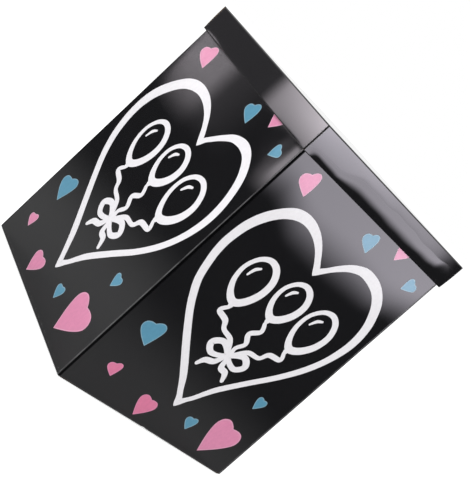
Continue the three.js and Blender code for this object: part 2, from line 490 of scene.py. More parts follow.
@dataclass(frozen=True)
class CutEdge(Finish):
    """A cut edge of fluted board: liners and the flute's wave, with painted shade in the hollows."""

    name: str = "raw"
    paper: tuple = (0.3, 0.19, 0.1, 1)
    # Painted shade: the colour of the flutes' hollows.
    painted_hollow_shade: tuple = (0.03, 0.018, 0.01, 1)
    board: float = BOARD_THICKNESS
    liner: float = 0.28 * MM
    liner_fade: float = 0.7
    medium: float = 0.16 * MM
    medium_fade: float = 1.6
    roughness: float = 0.9
    gloss: float = 0.2
    fuzz_scale: float = 1500
    fuzz_range: Row = (0.3, 0.8, 0.75, 1.1)

    def title(self) -> str:
        """Name of the material."""
        return f"cut_edge_{self.name}"

    def dress(self, tree: Tree) -> None:
        """Add the liners, the wave and the painted shade of the hollows, in the edge's own metres.

        Args:
            tree: Tree of the finish, which is empty.
        """
        place, along, across = surface_nodes(tree)
        middle = self.board / 2
        swing = middle - self.liner - self.medium / 2
        centre = tree.sum("MULTIPLY_ADD", tree.flutes(along), swing, middle)
        off_wave = tree.sum("ABSOLUTE", tree.sum("SUBTRACT", across, centre))
        off_middle = tree.sum("ABSOLUTE", tree.sum("SUBTRACT", across, middle))
        on_wave = tree.between(off_wave, self.medium, self.medium * self.medium_fade, 1, 0)
        reach = self.liner * self.liner_fade
        on_liner = tree.between(off_middle, middle - self.liner, middle - reach)
        covered = tree.sum("MAXIMUM", on_wave, on_liner)
        fuzz = tree.between(tree.noise(place, self.fuzz_scale, detail=3), *self.fuzz_range)
        # Paper where the liners and the wave are, painted shade in the hollows between.
        tone = tree.blend(covered, self.painted_hollow_shade, self.paper)
        colour = tree.add("ShaderNodeVectorMath", {0: tone, 1: fuzz}, operation="MULTIPLY")
        tree.surface({
            "Base Color": colour.outputs[0],
            "Roughness": self.roughness,
            "Specular IOR Level": self.gloss,
        })


class InkColour(Enum):
    """The inks of the prints."""

    WHITE = Ink("white", (0.80, 0.785, 0.81, 1), shade=0.955, gloss=0.14)
    PINK = Ink("pink", (0.69, 0.25, 0.405, 1), gloss=0.38)
    DEEP_PINK = Ink("deep_pink", (0.69, 0.195, 0.333, 1), gloss=0.38)
    BLUE = Ink("blue", (0.10, 0.285, 0.41, 1), gloss=0.38)
    PALE_PINK = Ink("pale_pink", (0.72, 0.38, 0.51, 1), gloss=0.3)
    PALE_BLUE = Ink("pale_blue", (0.22, 0.38, 0.47, 1), gloss=0.3)


# The paler ink that borders the small hearts of each ink.
BORDERS = {
    InkColour.PINK: InkColour.PALE_PINK,
    InkColour.DEEP_PINK: InkColour.PINK,
    InkColour.BLUE: InkColour.PALE_BLUE,
}

# A dark cut edge, with still darker painted shade in its hollows.
BLACKENED = CutEdge("blackened", paper=(0.02, 0.016, 0.013, 1), painted_hollow_shade=(0.006, 0.005, 0.004, 1))
BOARD_COATS = (Laminate(), Kraft(), CutEdge())
WALL_COATS = (*BOARD_COATS, Laminate("pressed_laminate", gloss=0.05))
DARK_EDGED = (Laminate(), Kraft(), BLACKENED)

# A cut along the flutes crosses them slowly, by this share of its length.
FLUTE_DRIFT = 0.02


@dataclass
class Board:
    """One piece of board as columns of points, each with its printed and its back face.

    The folds tell for each column how far its film has a painted highlight, above 0, or painted
    shade with less gloss, below 0. The foot is the finish of the edge at the columns' first points.
    """

    name: str
    columns: list[tuple[list[Vector], list[Vector]]]
    coats: Sequence[Finish] = BOARD_COATS
    folds: Sequence[float] = ()
    wear_reach: float = 3 * MM
    foot: Coat = Coat.EDGE

    def __post_init__(self) -> None:
        """Leave the film whole on a board without creases."""
        self.folds = self.folds or [0.0] * len(self.columns)

    def measures(self) -> tuple[list[float], list[float]]:
        """Measure the piece on its printed face.

        Returns:
            The columns' distances along the piece and the rows' distances across it.
        """
        middle_row = len(self.columns[0][0]) // 2
        firsts = [column[0][middle_row] for column in self.columns]
        rows = self.columns[len(self.columns) // 2][0]
        along, across = [0.0], [0.0]
        for start, end in zip(firsts, firsts[1:]):
            along.append(along[-1] + (end - start).length)
        for start, end in zip(rows, rows[1:]):
            across.append(across[-1] + (end - start).length)
        return along, across

    def faces(self, bm: bmesh.types.BMesh) -> None:
        """Add the faces of the piece to a mesh.

        Args:
            bm: The mesh, which is empty.
        """
        uv = bm.loops.layers.uv.new("metres")
        along, across = self.measures()
        print_side = [[bm.verts.new(point) for point in column[0]] for column in self.columns]
        back_side = [[bm.verts.new(point) for point in column[1]] for column in self.columns]
        last_column, last_row = len(along) - 1, len(across) - 1
        board = (self.columns[0][0][last_row // 2] - self.columns[0][1][last_row // 2]).length

        def face(corners: list, places: list, coat: Coat) -> None:
            """Add one face.

            Args:
                corners: Its vertices.
                places: Their places in metres.
                coat: Its finish.
            """
            made = bm.faces.new(corners)
            made.material_index = coat.value
            made.smooth = True
            for loop, spot in zip(made.loops, places):
                loop[uv].uv = spot

        for i in range(last_column):
            for j in range(last_row):
                around = ((i, j), (i + 1, j), (i + 1, j + 1), (i, j + 1))
                spots = [(along[a], across[b]) for a, b in around]
                film = Coat.PRESSED if self.folds[i] + self.folds[i + 1] < -1 else Coat.PRINT
                for grid, coat in ((print_side, film), (back_side, Coat.BACK)):
                    face([grid[a][b] for a, b in around], spots, coat)
        for j in (0, last_row):
            for i in range(last_column):
                corners = [print_side[i][j], print_side[i + 1][j], back_side[i + 1][j], back_side[i][j]]
                ends = [(along[i], 0), (along[i + 1], 0), (along[i + 1], board), (along[i], board)]
                face(corners, ends, Coat.EDGE if j else self.foot)
        for i in (0, last_column):
            for j in range(last_row):
                corners = [print_side[i][j], print_side[i][j + 1], back_side[i][j + 1], back_side[i][j]]
                start, end = across[j] * FLUTE_DRIFT, across[j + 1] * FLUTE_DRIFT
                face(corners, [(start, 0), (end, 0), (end, board), (start, board)], Coat.EDGE)

    def wear(self) -> list[float]:
        """Tell how worn each point is: most at the piece's borders, least in its middle.

        Returns:
            A share for each point, column by column.
        """
        along, across = self.measures()
        values = []
        for i in range(len(along)):
            for j in range(len(across)):
                nearest = min(along[i], along[-1] - along[i], across[j], across[-1] - across[j])
                values.append(1 - smooth_step(nearest / self.wear_reach))
        return values

    def make(self) -> bpy.types.Object:
        """Make the piece and dress it.

        Returns:
            The new object.
        """
        bm = bmesh.new()
        self.faces(bm)
        bmesh.ops.recalc_face_normals(bm, faces=bm.faces)
        piece = finished(bm, self.name, self.coats)
        count = len(self.columns[0][0])
        # The fold value carries the painted highlight and painted shade of the creases.
        folds = [fold for fold in self.folds for _ in range(count)]
        for title, values in (("wear", self.wear()), ("fold", folds)):
            attribute = piece.data.attributes.new(title, "FLOAT", "POINT")
            attribute.data.foreach_set("value", [*values, *values])
        return piece

    def build(self, body: str, slot: str, *nodes: str) -> bpy.types.Object:
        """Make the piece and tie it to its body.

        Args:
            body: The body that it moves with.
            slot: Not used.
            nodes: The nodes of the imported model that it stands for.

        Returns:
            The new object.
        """
        piece = self.make()
        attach(piece, body)
        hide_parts(*nodes)
        LOG.info("%s: %d faces on %s", piece.name, len(piece.data.polygons), body)
        return piece


def finished(bm: bmesh.types.BMesh, name: str, coats: Sequence[Finish]) -> bpy.types.Object:
    """Turn a mesh under construction into an object in the scene.

    Args:
        bm: The mesh, which is freed.
        name: Name of the piece.
        coats: Finishes, in the order of the faces' material numbers.

    Returns:
        The new object.
    """
    mesh = bpy.data.meshes.new(name)
    bm.to_mesh(mesh)
    bm.free()
    for coat in coats:
        mesh.materials.append(coat.material())
    mesh.set_sharp_from_angle(angle=SHARP_ANGLE)
    piece = bpy.data.objects.new(name, mesh)
    bpy.context.scene.collection.objects.link(piece)
    return piece


def quarter(steps: int = TURN_STEPS) -> list[float]:
    """Angles of a quarter turn, with one close to each end that holds the flats beside it flat."""
    between = [QUARTER * step / steps for step in range(1, steps)]
    return [0.0, HOLD_ANGLE, *between, QUARTER - HOLD_ANGLE, QUARTER]


@dataclass
class Wall:
    """One wall of the folded tube, with its upright crease and its printed face.

    A pale painted highlight line lies just ahead of the crease. Past it the film has painted shade
    and a lower gloss over a stretch given by its start, the place where the shade is fullest and its
    end, from the crease's start.
    """

    side: Side
    creased: bool = True
    first_seed: int = 11
    wave_height: float = 0.1 * MM
    bottom_turn: float = math.radians(80)
    bottom_step: float = math.radians(15)
    bottom_drop: float = 0.98
    # Place and reach of the painted highlight line ahead of the crease, then the start, the fullest place
    # and the end of the painted shade with less gloss past it.
    painted_highlight_ahead: float = 1.8 * MM
    painted_highlight_reach: float = 2 * MM
    pressed: tuple[float, float, float] = (0.5 * MM, 3.6 * MM, 8 * MM)
    worn: float = 1.5 * MM

    def __post_init__(self) -> None:
        """Take the wall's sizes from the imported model."""
        self.low, self.high = self.side.own_box(self.node)
        self.face = self.low.y
        self.bend = self.high.x - CREASE_OUTER if self.creased else self.high.x
        low, high = (self.low.x, self.low.z), (self.bend, self.high.z)
        self.wave = Wave(self.first_seed + self.side.value, self.wave_height, low, high)

    @property
    def node(self) -> str:
        """Name of the wall's node."""
        return f"{self.side.word}_panel"

    def point(self, x: float, z: float, depth: float) -> Vector:
        """A point of the wall's flat part, at a depth below its printed face."""
        return self.side.turned(x, self.face + depth - self.wave.at(x, z), z)

    def rows(self) -> list[Row]:
        """Space the rows of a column, closer where the wall turns under.

        Returns:
            The depth and height of the printed and the back face, from the ground up.
        """
        board, start = BOARD_THICKNESS, self.low.z + BOARD_THICKNESS
        turned = []
        for angle in spread(self.bottom_turn, 0, self.bottom_step):
            sunk = board * (1 - math.cos(angle))
            inner = start - board * angle / self.bottom_turn * self.bottom_drop
            turned.append((sunk, start - board * math.sin(angle), board, inner))
        straight = [start + HOLD, *spread(start, self.high.z, GRID)[1:]]
        return turned + [(0.0, z, board, z) for z in straight]

    def column(self, x: float, angle: float) -> tuple[list[Vector], list[Vector]]:
        """Make one column, on the flat part or part way round the crease.

        Args:
            x: Place along the wall, where the column is on the flat part.
            angle: How far it is round the crease, or 0.

        Returns:
            The points of the printed and of the back face.
        """
        def place(depth: float, z: float) -> Vector:
            """Find one point of the column.

            Args:
                depth: Its depth below the printed face.
                z: Its height.

            Returns:
                The point.
            """
            if angle <= 0:
                return self.point(x, z, depth)
            radius = CREASE_OUTER - depth
            y = self.face + CREASE_OUTER - radius * math.cos(angle)
            return self.side.turned(self.bend + radius * math.sin(angle), y, z)

        rows = self.rows()
        return [place(row[0], row[1]) for row in rows], [place(row[2], row[3]) for row in rows]

    def fold(self, run: float) -> float:
        """Painted highlight, above 0, or painted shade with less gloss, below 0, round a crease.

        Args:
            run: The distance past the start of the crease, round its outside.

        Returns:
            A share from -1 to 1.
        """
        start, full, end = self.pressed
        # The pale share is a painted highlight; the other share is painted shade with less gloss.
        pale = max(0.0, 1 - abs(run + self.painted_highlight_ahead) / self.painted_highlight_reach)
        dull_painted_shade = max(0.0, min(1.0, (run - start) / start, (end - run) / (end - full)))
        return pale - dull_painted_shade

    def build(self) -> bpy.types.Object:
        """Make the wall's piece.

        Returns:
            The new object.
        """
        flat = spread(self.low.x, self.bend, GRID)
        turn = CREASE_OUTER * QUARTER
        flat[1:1] = [self.low.x + self.worn, self.low.x + self.pressed[2] - turn]
        # Columns that hold the painted highlight line ahead of the crease.
        if self.creased:
            pale = self.bend - self.painted_highlight_ahead
            flat[-1:-1] = [pale - self.painted_highlight_reach, pale, self.bend - HOLD]
        columns = [self.column(x, 0) for x in flat]
        folds = [self.fold(x - self.bend) if self.creased else 0.0 for x in flat]
        # The wall's start carries on the painted shade of the crease before it.
        if self.side is not Side.LEFT:
            dull_painted_shade = [min(0.0, self.fold(x - self.low.x + turn)) for x in flat]
            folds = [own + before for own, before in zip(folds, dull_painted_shade)]
        if self.creased:
            columns += [self.column(self.bend, angle) for angle in quarter()[1:]]
            folds += [self.fold(CREASE_OUTER * angle) for angle in quarter()[1:]]
        board = Board(f"{self.node}_board", columns, WALL_COATS, folds, self.worn, Coat.PRINT)
        return board.build("body", "black_laminate", self.node)


@dataclass
class GlueFlap:
    """The flap that continues the left wall round the corner, inside the back wall."""

    taper: float = 9 * MM
    rows: int = 64

    def build(self) -> bpy.types.Object:
        """Make the flap's piece, round its crease and along to its tapered end.

        Returns:
            The new object.
        """
        side = Side.LEFT
        low, high = side.own_box("glue_flap")
        centre_x, centre_y = low.x + CREASE_OUTER, low.y + CREASE_OUTER
        run_end = high.y - centre_y
        columns = []
        stations = [(angle, 0.0) for angle in quarter()]
        stations += [(QUARTER, run) for run in spread(0, run_end, GRID)[1:]]
        for angle, run in stations:
            cut = self.taper * run / run_end
            tall = high.z - low.z - 2 * cut
            heights = [low.z + cut + tall * row / self.rows for row in range(self.rows + 1)]
            faces = []
            for radius in (CREASE_OUTER, CREASE_INNER):
                x = centre_x - radius * math.sin(angle)
                y = centre_y - radius * math.cos(angle) + run
                faces.append([side.turned(x, y, z) for z in heights])
            columns.append((faces[0], faces[1]))
        return Board("glue_flap_board", columns).build("body", "board_back", "glue_flap")


@dataclass
class BottomFlap:
    """One of the four bottom flaps, notched at its hinge and rounded at its free corners."""

    side: Side
    slot: str
    corner: float = 8 * MM
    notch: float = 6 * MM
    notch_step: float = 3 * MM
    notch_depth: float = 1.8 * MM
    taper: float = 2 * MM
    lift: float = 0.06 * MM
    first_seed: int = 31
    wave_height: float = 0.04 * MM

    @property
    def node(self) -> str:
        """Name of the flap's node."""
        return f"bottom_flap_{self.side.word}"

    def half(self, y: float, low: Vector, high: Vector) -> float:
        """Find half the flap's width.

        Args:
            y: Distance from its hinge.
            low: Lowest corner of the flap in its own frame.
            high: Highest corner of the flap in its own frame.

        Returns:
            Half the width there.
        """
        widest, reach = high.x, high.y - low.y
        if y < self.notch:
            return widest - self.notch_depth * (1 - y / self.notch)
        free = widest - self.taper
        into = y - (reach - self.corner)
        if into > 0:
            return free - self.corner + math.sqrt(max(0.0, self.corner ** 2 - into ** 2))
        return widest - self.taper * (y - self.notch) / (reach - self.corner - self.notch)

    def build(self) -> bpy.types.Object:
        """Make the flap's piece.

        Returns:
            The new object.
        """
        low, high = self.side.own_box(self.node)
        reach = high.y - low.y
        seed = self.first_seed + self.side.value
        wave = Wave(seed, self.wave_height, (low.x, 0.0), (high.x, reach))
        places = spread(0, self.notch, self.notch_step)
        places += spread(self.notch, reach - self.corner, GRID)[1:]
        places += [reach - self.corner * (1 - math.sin(angle)) for angle in quarter()[1:]]
        columns = []
        for share in spread(-1, 1, GRID / high.x):
            faces = []
            for z in (low.z + self.lift, high.z):
                row = []
                for y in places:
                    x = share * self.half(y, low, high)
                    rise = abs(wave.at(x, y)) if self.slot == "black_laminate" else wave.at(x, y) / 2
                    row.append(self.side.turned(x, low.y + y, z + rise))
                faces.append(row)
            columns.append((faces[0], faces[1]))
        body = f"flap_{self.side.word}"
        coats = DARK_EDGED if self.slot == "black_laminate" else BOARD_COATS
        return Board(f"{self.node}_board", columns, coats).build(body, self.slot, self.node)


@dataclass
class RimShape:
    """How one rim of the lid departs from a plane.

    Every rim has slow waves. The lower edge of a side rim also curls in: near its near end by the
    low share only, from the low reach on ever more over the low fade, and a little more still
    towards its far end, where the rim is drawn in over its whole height as well.
    """

    side: Side
    first_seed: int = 51
    wave_height: float = 0.03 * MM
    wave_length: float = 130 * MM
    wave_border: float = 16 * MM
    curl_height: float = 42 * MM
    curl: float = 2.55 * MM
    curl_power: float = 2.0
    ripples: tuple[Point2, ...] = ((0.06, 173 * MM), (0.035, 61 * MM))
    stiff_near: float = 30 * MM
    drawn_in: float = 0.75 * MM
    drawn_reach: float = 75 * MM
    drawn_top: float = 56 * MM
    drawn_fade: float = 2.5 * MM
    far_growth: float = 0.05
    low_share: float = 0.42
    low_reach: float = 78 * MM
    low_fade: float = 75 * MM
    inner_share: float = 0.25

    def __post_init__(self) -> None:
        """Take the rim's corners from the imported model."""
        self.low, self.high = self.side.own_box(f"lid_rim_{self.side.word}")
        self.roll = self.high.y - self.low.y
        low, high = (self.low.x, self.low.z - GRID), (self.high.x, self.high.z)
        seed = self.first_seed + self.side.value
        self.wave = Wave(seed, self.wave_height, low, high, self.wave_length, self.wave_border)

    def offset(self, x: float, z: float, depth: float) -> float:
        """How far a place of the rim stands out, the inner wall curling less than the outer face.

        Args:
            x: Place along the rim.
            z: Height of the place.
            depth: Its depth below the rim's outer face.

        Returns:
            The distance outwards.
        """
        if self.side in (Side.FRONT, Side.BACK):
            return self.wave.at(x, z)
        near, far = x - self.low.x, self.high.x - x
        held = smooth_step(near / self.stiff_near)
        grown = smooth_step((near - self.low_reach) / self.low_fade)
        tall = self.low_share + (1 - self.low_share) * grown
        tall += self.far_growth * smooth_step(1 - far / (2 * self.drawn_reach))
        ripple = sum(size * math.sin(math.tau * x / length) for size, length in self.ripples)
        height = self.curl_height * tall * (1 + ripple)
        share = max(0.0, 1 - (z - self.low.z) / height)
        bent = self.curl * tall * share ** self.curl_power * held
        drawn = self.drawn_in * max(0.0, 1 - far / self.drawn_reach) ** 2
        bent += drawn * smooth_step((self.low.z + self.drawn_top - z) / self.drawn_fade)
        eased = 1 - (1 - self.inner_share) * min(1.0, depth / self.roll)
        return self.wave.at(x, z) - bent * eased


@dataclass
class TrayLid:
    """The tray lid: its top, four rolled rims, their inner walls and the four corner tabs.

    The wall gap and the roll gap keep the back of a rolled edge clear of the rim's two walls.
    """

    top_seed: int = 71
    top_wave: float = 0.12 * MM
    top_wave_length: float = 260 * MM
    top_wave_border: float = 60 * MM
    rim_grid: float = 5 * MM
    rim_step: float = 4 * MM
    wall_gap: float = 0.1 * MM
    roll_gap: float = 0.2 * MM
    bevel: float = 5 * MM
    tab_corner: float = 12 * MM
    tab_rows: int = 12

    def __post_init__(self) -> None:
        """Take the lid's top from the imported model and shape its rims."""
        self.top_low, self.top_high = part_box("lid_top_panel")
        self.shapes = {side: RimShape(side) for side in Side}

    def rim_rows(self, low: Vector, high: Vector, roll: float) -> list[Row]:
        """The rim's section: its crease from the top, its wall and its rolled lower edge.

        Args:
            low: Lowest corner of the rim in its own frame.
            high: Highest corner of the rim in its own frame.
            roll: Width of the rolled edge.

        Returns:
            Depth and height of the printed and the back face, from the top down.
        """
        board, floor = BOARD_THICKNESS, low.z + BOARD_THICKNESS
        bend = high.z - CREASE_OUTER
        rows = []
        for angle in quarter():
            sine, cosine = math.sin(angle), math.cos(angle)
            rows.append((
                CREASE_OUTER * (1 - sine), bend + CREASE_OUTER * cosine,
                CREASE_OUTER - CREASE_INNER * sine, bend + CREASE_INNER * cosine,
            ))
        straight = spread(bend, floor, self.rim_step)[1:]
        straight = [bend - HOLD, *straight[:-1], floor + HOLD, floor]
        rows += [(0.0, z, board, z) for z in straight]
        outer = [(board * (1 - math.cos(a)), floor - board * math.sin(a)) for a in quarter()[1:]]
        outer += [(roll - board * (1 - math.sin(a)), floor - board * math.cos(a)) for a in quarter()]
        lining = [(board, floor - self.wall_gap), (roll - self.roll_gap, floor)]
        inner = along_path(lining, len(outer))
        return rows + [(*outer[index], *inner[index]) for index in range(len(outer))]

    def rim(self, side: Side) -> bpy.types.Object:
        """Make one rim.

        Args:
            side: The rim's side.

        Returns:
            The new object.
        """
        node = f"lid_rim_{side.word}"
        shape = self.shapes[side]
        low, high = shape.low, shape.high
        rows = self.rim_rows(low, high, shape.roll)
        columns = []
        for x in spread(low.x, high.x, self.rim_grid):
            outer, inner = [], []
            for depth, z, back_depth, back_z in rows:
                y = low.y + depth - shape.offset(x, z, depth)
                back_y = low.y + back_depth - shape.offset(x, z, back_depth)
                outer.append(side.turned(x, y, z))
                inner.append(side.turned(x, back_y, back_z))
            columns.append((outer, inner))
        return Board(f"{node}_board", columns, DARK_EDGED).build("lid", "black_laminate", node)

    def inner_rim(self, side: Side) -> bpy.types.Object:
        """Make the inner wall of one rim, whose printed face looks into the lid.

        Args:
            side: The rim's side.

        Returns:
            The new object.
        """
        node = f"lid_inner_rim_{side.word}"
        low, high = side.own_box(node)
        shape = self.shapes[side]
        columns = []
        for share in spread(-1, 1, GRID / high.x):
            faces = []
            for y in (high.y, low.y):
                row = []
                for z in spread(low.z, high.z, self.rim_step):
                    x = share * (high.x - max(0.0, z - (high.z - self.bevel)))
                    row.append(side.turned(x, y - shape.offset(x, z, shape.roll), z))
                faces.append(row)
            columns.append((faces[0], faces[1]))
        return Board(f"{node}_board", columns).build("lid", "black_laminate", node)

    def top(self) -> bpy.types.Object:
        """Make the top panel.

        Returns:
            The new object.
        """
        low, high = self.top_low, self.top_high
        shape = (self.top_wave_length, self.top_wave_border)
        wave = Wave(self.top_seed, self.top_wave, (low.x, low.y), (high.x, high.y), *shape)
        columns = []
        for x in spread(low.x, high.x, GRID):
            rows = spread(low.y, high.y, GRID)
            outer = [Vector((x, y, high.z + wave.at(x, y))) for y in rows]
            inner = [Vector((x, y, low.z + wave.at(x, y))) for y in rows]
            columns.append((outer, inner))
        board = Board("lid_top_board", columns, DARK_EDGED)
        return board.build("lid", "black_laminate", "lid_top_panel")

    def curled(self, side: Side, spot: Vector) -> Vector:
        """A point of a tab, moved as the rim of a side curls over it."""
        own, shape = side.inverse.turned(*spot), self.shapes[side]
        return side.turned(own.x, own.y - shape.offset(own.x, own.z, own.y - shape.low.y), own.z)

    def tab(self, end: Side, hand: str) -> bpy.types.Object:
        """Make the tab that one end of a front or back rim folds round the corner.

        Args:
            end: The rim's side, front or back.
            hand: The side of the box that the tab lies on, left or right.

        Returns:
            The new object.
        """
        node = f"lid_tab_{end.word}_{hand}"
        low, high = end.own_box(node)
        mirror = 1 if high.x > -low.x else -1
        outer_x = max(high.x, -low.x)
        centre_x, centre_y = outer_x - CREASE_OUTER, low.y + CREASE_OUTER
        run_end = high.y - centre_y
        stations = [(angle, 0.0) for angle in quarter()]
        straight = spread(0, run_end - self.tab_corner, GRID)[1:]
        rounded = [run_end - self.tab_corner * (1 - math.sin(a)) for a in quarter()[1:]]
        stations += [(QUARTER, run) for run in straight + rounded]
        columns = []
        for angle, run in stations:
            into = max(0.0, run - (run_end - self.tab_corner))
            cut = self.tab_corner - math.sqrt(max(0.0, self.tab_corner ** 2 - into ** 2))
            tall = high.z - low.z - 2 * cut
            rows = range(self.tab_rows + 1)
            heights = [low.z + cut + tall * row / self.tab_rows for row in rows]
            faces = []
            for radius in (CREASE_OUTER, CREASE_INNER):
                x = mirror * (centre_x + radius * math.sin(angle))
                y = centre_y - radius * math.cos(angle) + run
                faces.append([self.curled(Side[hand.upper()], end.turned(x, y, z)) for z in heights])
            columns.append((faces[0], faces[1]))
        return Board(f"{node}_board", columns, DARK_EDGED).build("lid", "black_laminate", node)

    def build(self) -> None:
        """Make every piece of the lid."""
        self.top()
        for side in Side:
            self.rim(side)
            self.inner_rim(side)
        for end in (Side.FRONT, Side.BACK):
            for hand in ("left", "right"):
                self.tab(end, hand)


def smooth_line(stations: Sequence[Sequence[float]], steps: int, closed: bool = False) -> list[list[float]]:
    """Draw a smooth line through stations of any number of values.

    Args:
        stations: Values at each station.
        steps: Points for each stretch between two stations.
        closed: Whether the line joins its own start.

    Returns:
        The values along the line.
    """
    count = len(stations)
    line = []
    for index in range(count if closed else count - 1):
        if closed:
            around = [stations[(index + k) % count] for k in (-1, 0, 1, 2)]
        else:
            around = [stations[min(count - 1, max(0, index + k))] for k in (-1, 0, 1, 2)]
        for step in range(steps):
            t = step / steps
            line.append([
                0.5 * (2 * b + (c - a) * t + (2 * a - 5 * b + 4 * c - d) * t * t
                       + (3 * b - a - 3 * c + d) * t ** 3)
                for a, b, c, d in zip(*around)
            ])
    if not closed:
        line.append(list(stations[-1]))
    return line


@dataclass(frozen=True)
class SmallHeart:
    """A small printed heart: its place, its height, its tilt, its ink and how it was drawn.

    The shift, the tip and the slope are shares of the height: how far its middle and its tip lie
    to the right, and how much its right lobe stands over its left one.
    """

    x: float
    z: float
    size: float
    tilt: float
    ink: InkColour
    fullness: float = 1.0
    shift: float = 0.0
    tip: float = 0.0
    slope: float = 0.0

    def place(self, x: float, z: float) -> Point2:
        """Put a point of the plain heart where it was drawn on the wall.

        Args:
            x: The point's place across the plain heart.
            z: Its place up the plain heart.

        Returns:
            The point on the wall, in metres.
        """
        turn = math.radians(self.tilt)
        low = max(0.0, (HEART_WIDEST - z) / (HEART_WIDEST - HEART_HALF[0][1]))
        wide = (x * self.fullness + self.shift + (self.tip - self.shift) * low) * self.size
        tall = (z + self.slope * x * (1 - min(1.0, low))) * self.size
        across = wide * math.cos(turn) - tall * math.sin(turn)
        up = wide * math.sin(turn) + tall * math.cos(turn)
        return (self.x + across) * MM, (self.z + up) * MM


@dataclass(frozen=True)
class Stroke:
    """A brush stroke through stations of place and width, in millimetres."""

    stations: Sequence[tuple[float, float, float]]
    closed: bool = False
    upright_ends: bool = False


@dataclass(frozen=True)
class Section:
    """A place along a stroke: its middle, the direction across it and its width."""

    middle: Point2
    across: Point2
    width: float


@dataclass
class InkFilm:
    """The inks of one print on a wall: thin closed films that follow the wall's surface.

    Each film stands out a little more than the one before, by the layer step's share.
    """

    wall: Wall
    name: str
    ink: Ink
    proud: float = 0.06 * MM
    sunk: float = 0.03 * MM
    lanes: int = 4
    steps: int = 9
    cap_steps: int = 5
    cap_turn: float = 0.97
    layer_step: float = 0.25
    bm: bmesh.types.BMesh = field(default_factory=bmesh.new)
    layers: int = 0

    def __post_init__(self) -> None:
        """Give the film its map in metres."""
        self.uv = self.bm.loops.layers.uv.new("metres")

    def sections(self, stroke: Stroke) -> list[Section]:
        """Cut a stroke into sections, with round caps where it is open.

        Args:
            stroke: The stroke, in millimetres.

        Returns:
            Its sections, in metres.
        """
        spots = smooth_line(stroke.stations, self.steps, stroke.closed)
        line = [[part * MM for part in spot] for spot in spots]
        last = len(line) - 1
        cut = []
        for index, (x, z, width) in enumerate(line):
            before = line[index - 1] if index or stroke.closed else line[0]
            after = line[(index + 1) % len(line)] if index < last or stroke.closed else line[last]
            run = Vector((after[0] - before[0], after[1] - before[1])).normalized()
            cut.append(Section((x, z), (run.y, -run.x), width))
        if stroke.upright_ends:
            for index in range(self.steps):
                for place in (index, len(cut) - 1 - index):
                    cut[place] = self.uprighted(cut[place], 1 - index / self.steps)
        elif not stroke.closed:
            cut = self.cap(cut[0], -1)[::-1] + cut + self.cap(cut[-1], 1)
        return cut

    def uprighted(self, cut: Section, share: float) -> Section:
        """Turn the direction across a section upright.

        Args:
            cut: The section.
            share: How far it is turned.

        Returns:
            The turned section.
        """
        upright = math.copysign(1, cut.across[1])
        x, z = cut.across[0] * (1 - share), cut.across[1] * (1 - share) + upright * share
        return Section(cut.middle, tuple(Vector((x, z)).normalized()), cut.width)

    def cap(self, end: Section, way: int) -> list[Section]:
        """Make the sections of a round end.

        Args:
            end: The stroke's section at that end.
            way: 1 at the stroke's last section, -1 at its first.

        Returns:
            The sections, from the stroke outwards.
        """
        run = (-end.across[1] * way, end.across[0] * way)
        caps = []
        for step in range(1, self.cap_steps + 1):
            angle = QUARTER * step / self.cap_steps * self.cap_turn
            reach = end.width / 2 * math.sin(angle)
            middle = (end.middle[0] + run[0] * reach, end.middle[1] + run[1] * reach)
            caps.append(Section(middle, end.across, end.width * math.cos(angle)))
        return caps

    def vertex(self, x: float, z: float, height: float) -> bmesh.types.BMVert:
        """A vertex over the wall's surface."""
        return self.bm.verts.new(self.wall.point(x, z, -height))

    def face(self, corners: list, spots: list[Point2]) -> None:
        """Add one face of the film.

        Args:
            corners: Its vertices.
            spots: Their places on the wall.
        """
        made = self.bm.faces.new(corners)
        made.smooth = True
        for loop, spot in zip(made.loops, spots):
            loop[self.uv].uv = spot

    def next_height(self) -> float:
        """The height of the next film."""
        self.layers += 1
        return self.proud * (1 + self.layer_step * (self.layers - 1))

    def lay(self, sections: Sequence[Section], closed: bool) -> None:
        """Lay a stroke's film.

        Args:
            sections: The stroke's sections.
            closed: Whether the last section joins the first.
        """
        height = self.next_height()
        rings = []
        for cut in sections:
            (x, z), (over_x, over_z) = cut.middle, cut.across
            lanes = [cut.width * (lane / self.lanes - 0.5) for lane in range(self.lanes + 1)]
            spots = [(x + over_x * lane, z + over_z * lane) for lane in lanes]
            spots += [spots[-1], spots[0]]
            heights = [height] * (self.lanes + 1) + [-self.sunk] * 2
            rings.append(([self.vertex(*spot, rise) for spot, rise in zip(spots, heights)], spots))
        count = len(rings)
        for index in range(count if closed else count - 1):
            (first, spots), (second, others) = rings[index], rings[(index + 1) % count]
            for a in range(len(first)):
                b = (a + 1) % len(first)
                places = [spots[a], spots[b], others[b], others[a]]
                self.face([first[a], first[b], second[b], second[a]], places)
        if not closed:
            self.face(rings[0][0][::-1], rings[0][1][::-1])
            self.face(rings[-1][0], rings[-1][1])

    def fill(self, outline: Sequence[Point2], middle: Point2, rings: int = 3) -> None:
        """Lay a filled shape that is seen whole from its middle.

        Args:
            outline: Border of the shape, in order.
            middle: The point inside it.
            rings: Number of rings between the middle and the border.
        """
        height = self.next_height()
        mid_x, mid_z = middle
        grids = []
        for ring in range(rings, 0, -1):
            share = ring / rings
            spots = [(mid_x + (x - mid_x) * share, mid_z + (z - mid_z) * share) for x, z in outline]
            grids.append(([self.vertex(*spot, height) for spot in spots], spots))
        base = ([self.vertex(*spot, -self.sunk) for spot in outline], list(outline))
        grids.insert(0, base)
        count = len(outline)
        for (outer, spots), (inner, others) in zip(grids, grids[1:]):
            for a in range(count):
                b = (a + 1) % count
                places = [spots[a], spots[b], others[b], others[a]]
                self.face([outer[a], outer[b], inner[b], inner[a]], places)
        for height_here, (ring, spots) in ((height, grids[-1]), (-self.sunk, base)):
            centre = self.vertex(*middle, height_here)
            for a in range(count):
                b = (a + 1) % count
                self.face([ring[a], ring[b], centre], [spots[a], spots[b], middle])

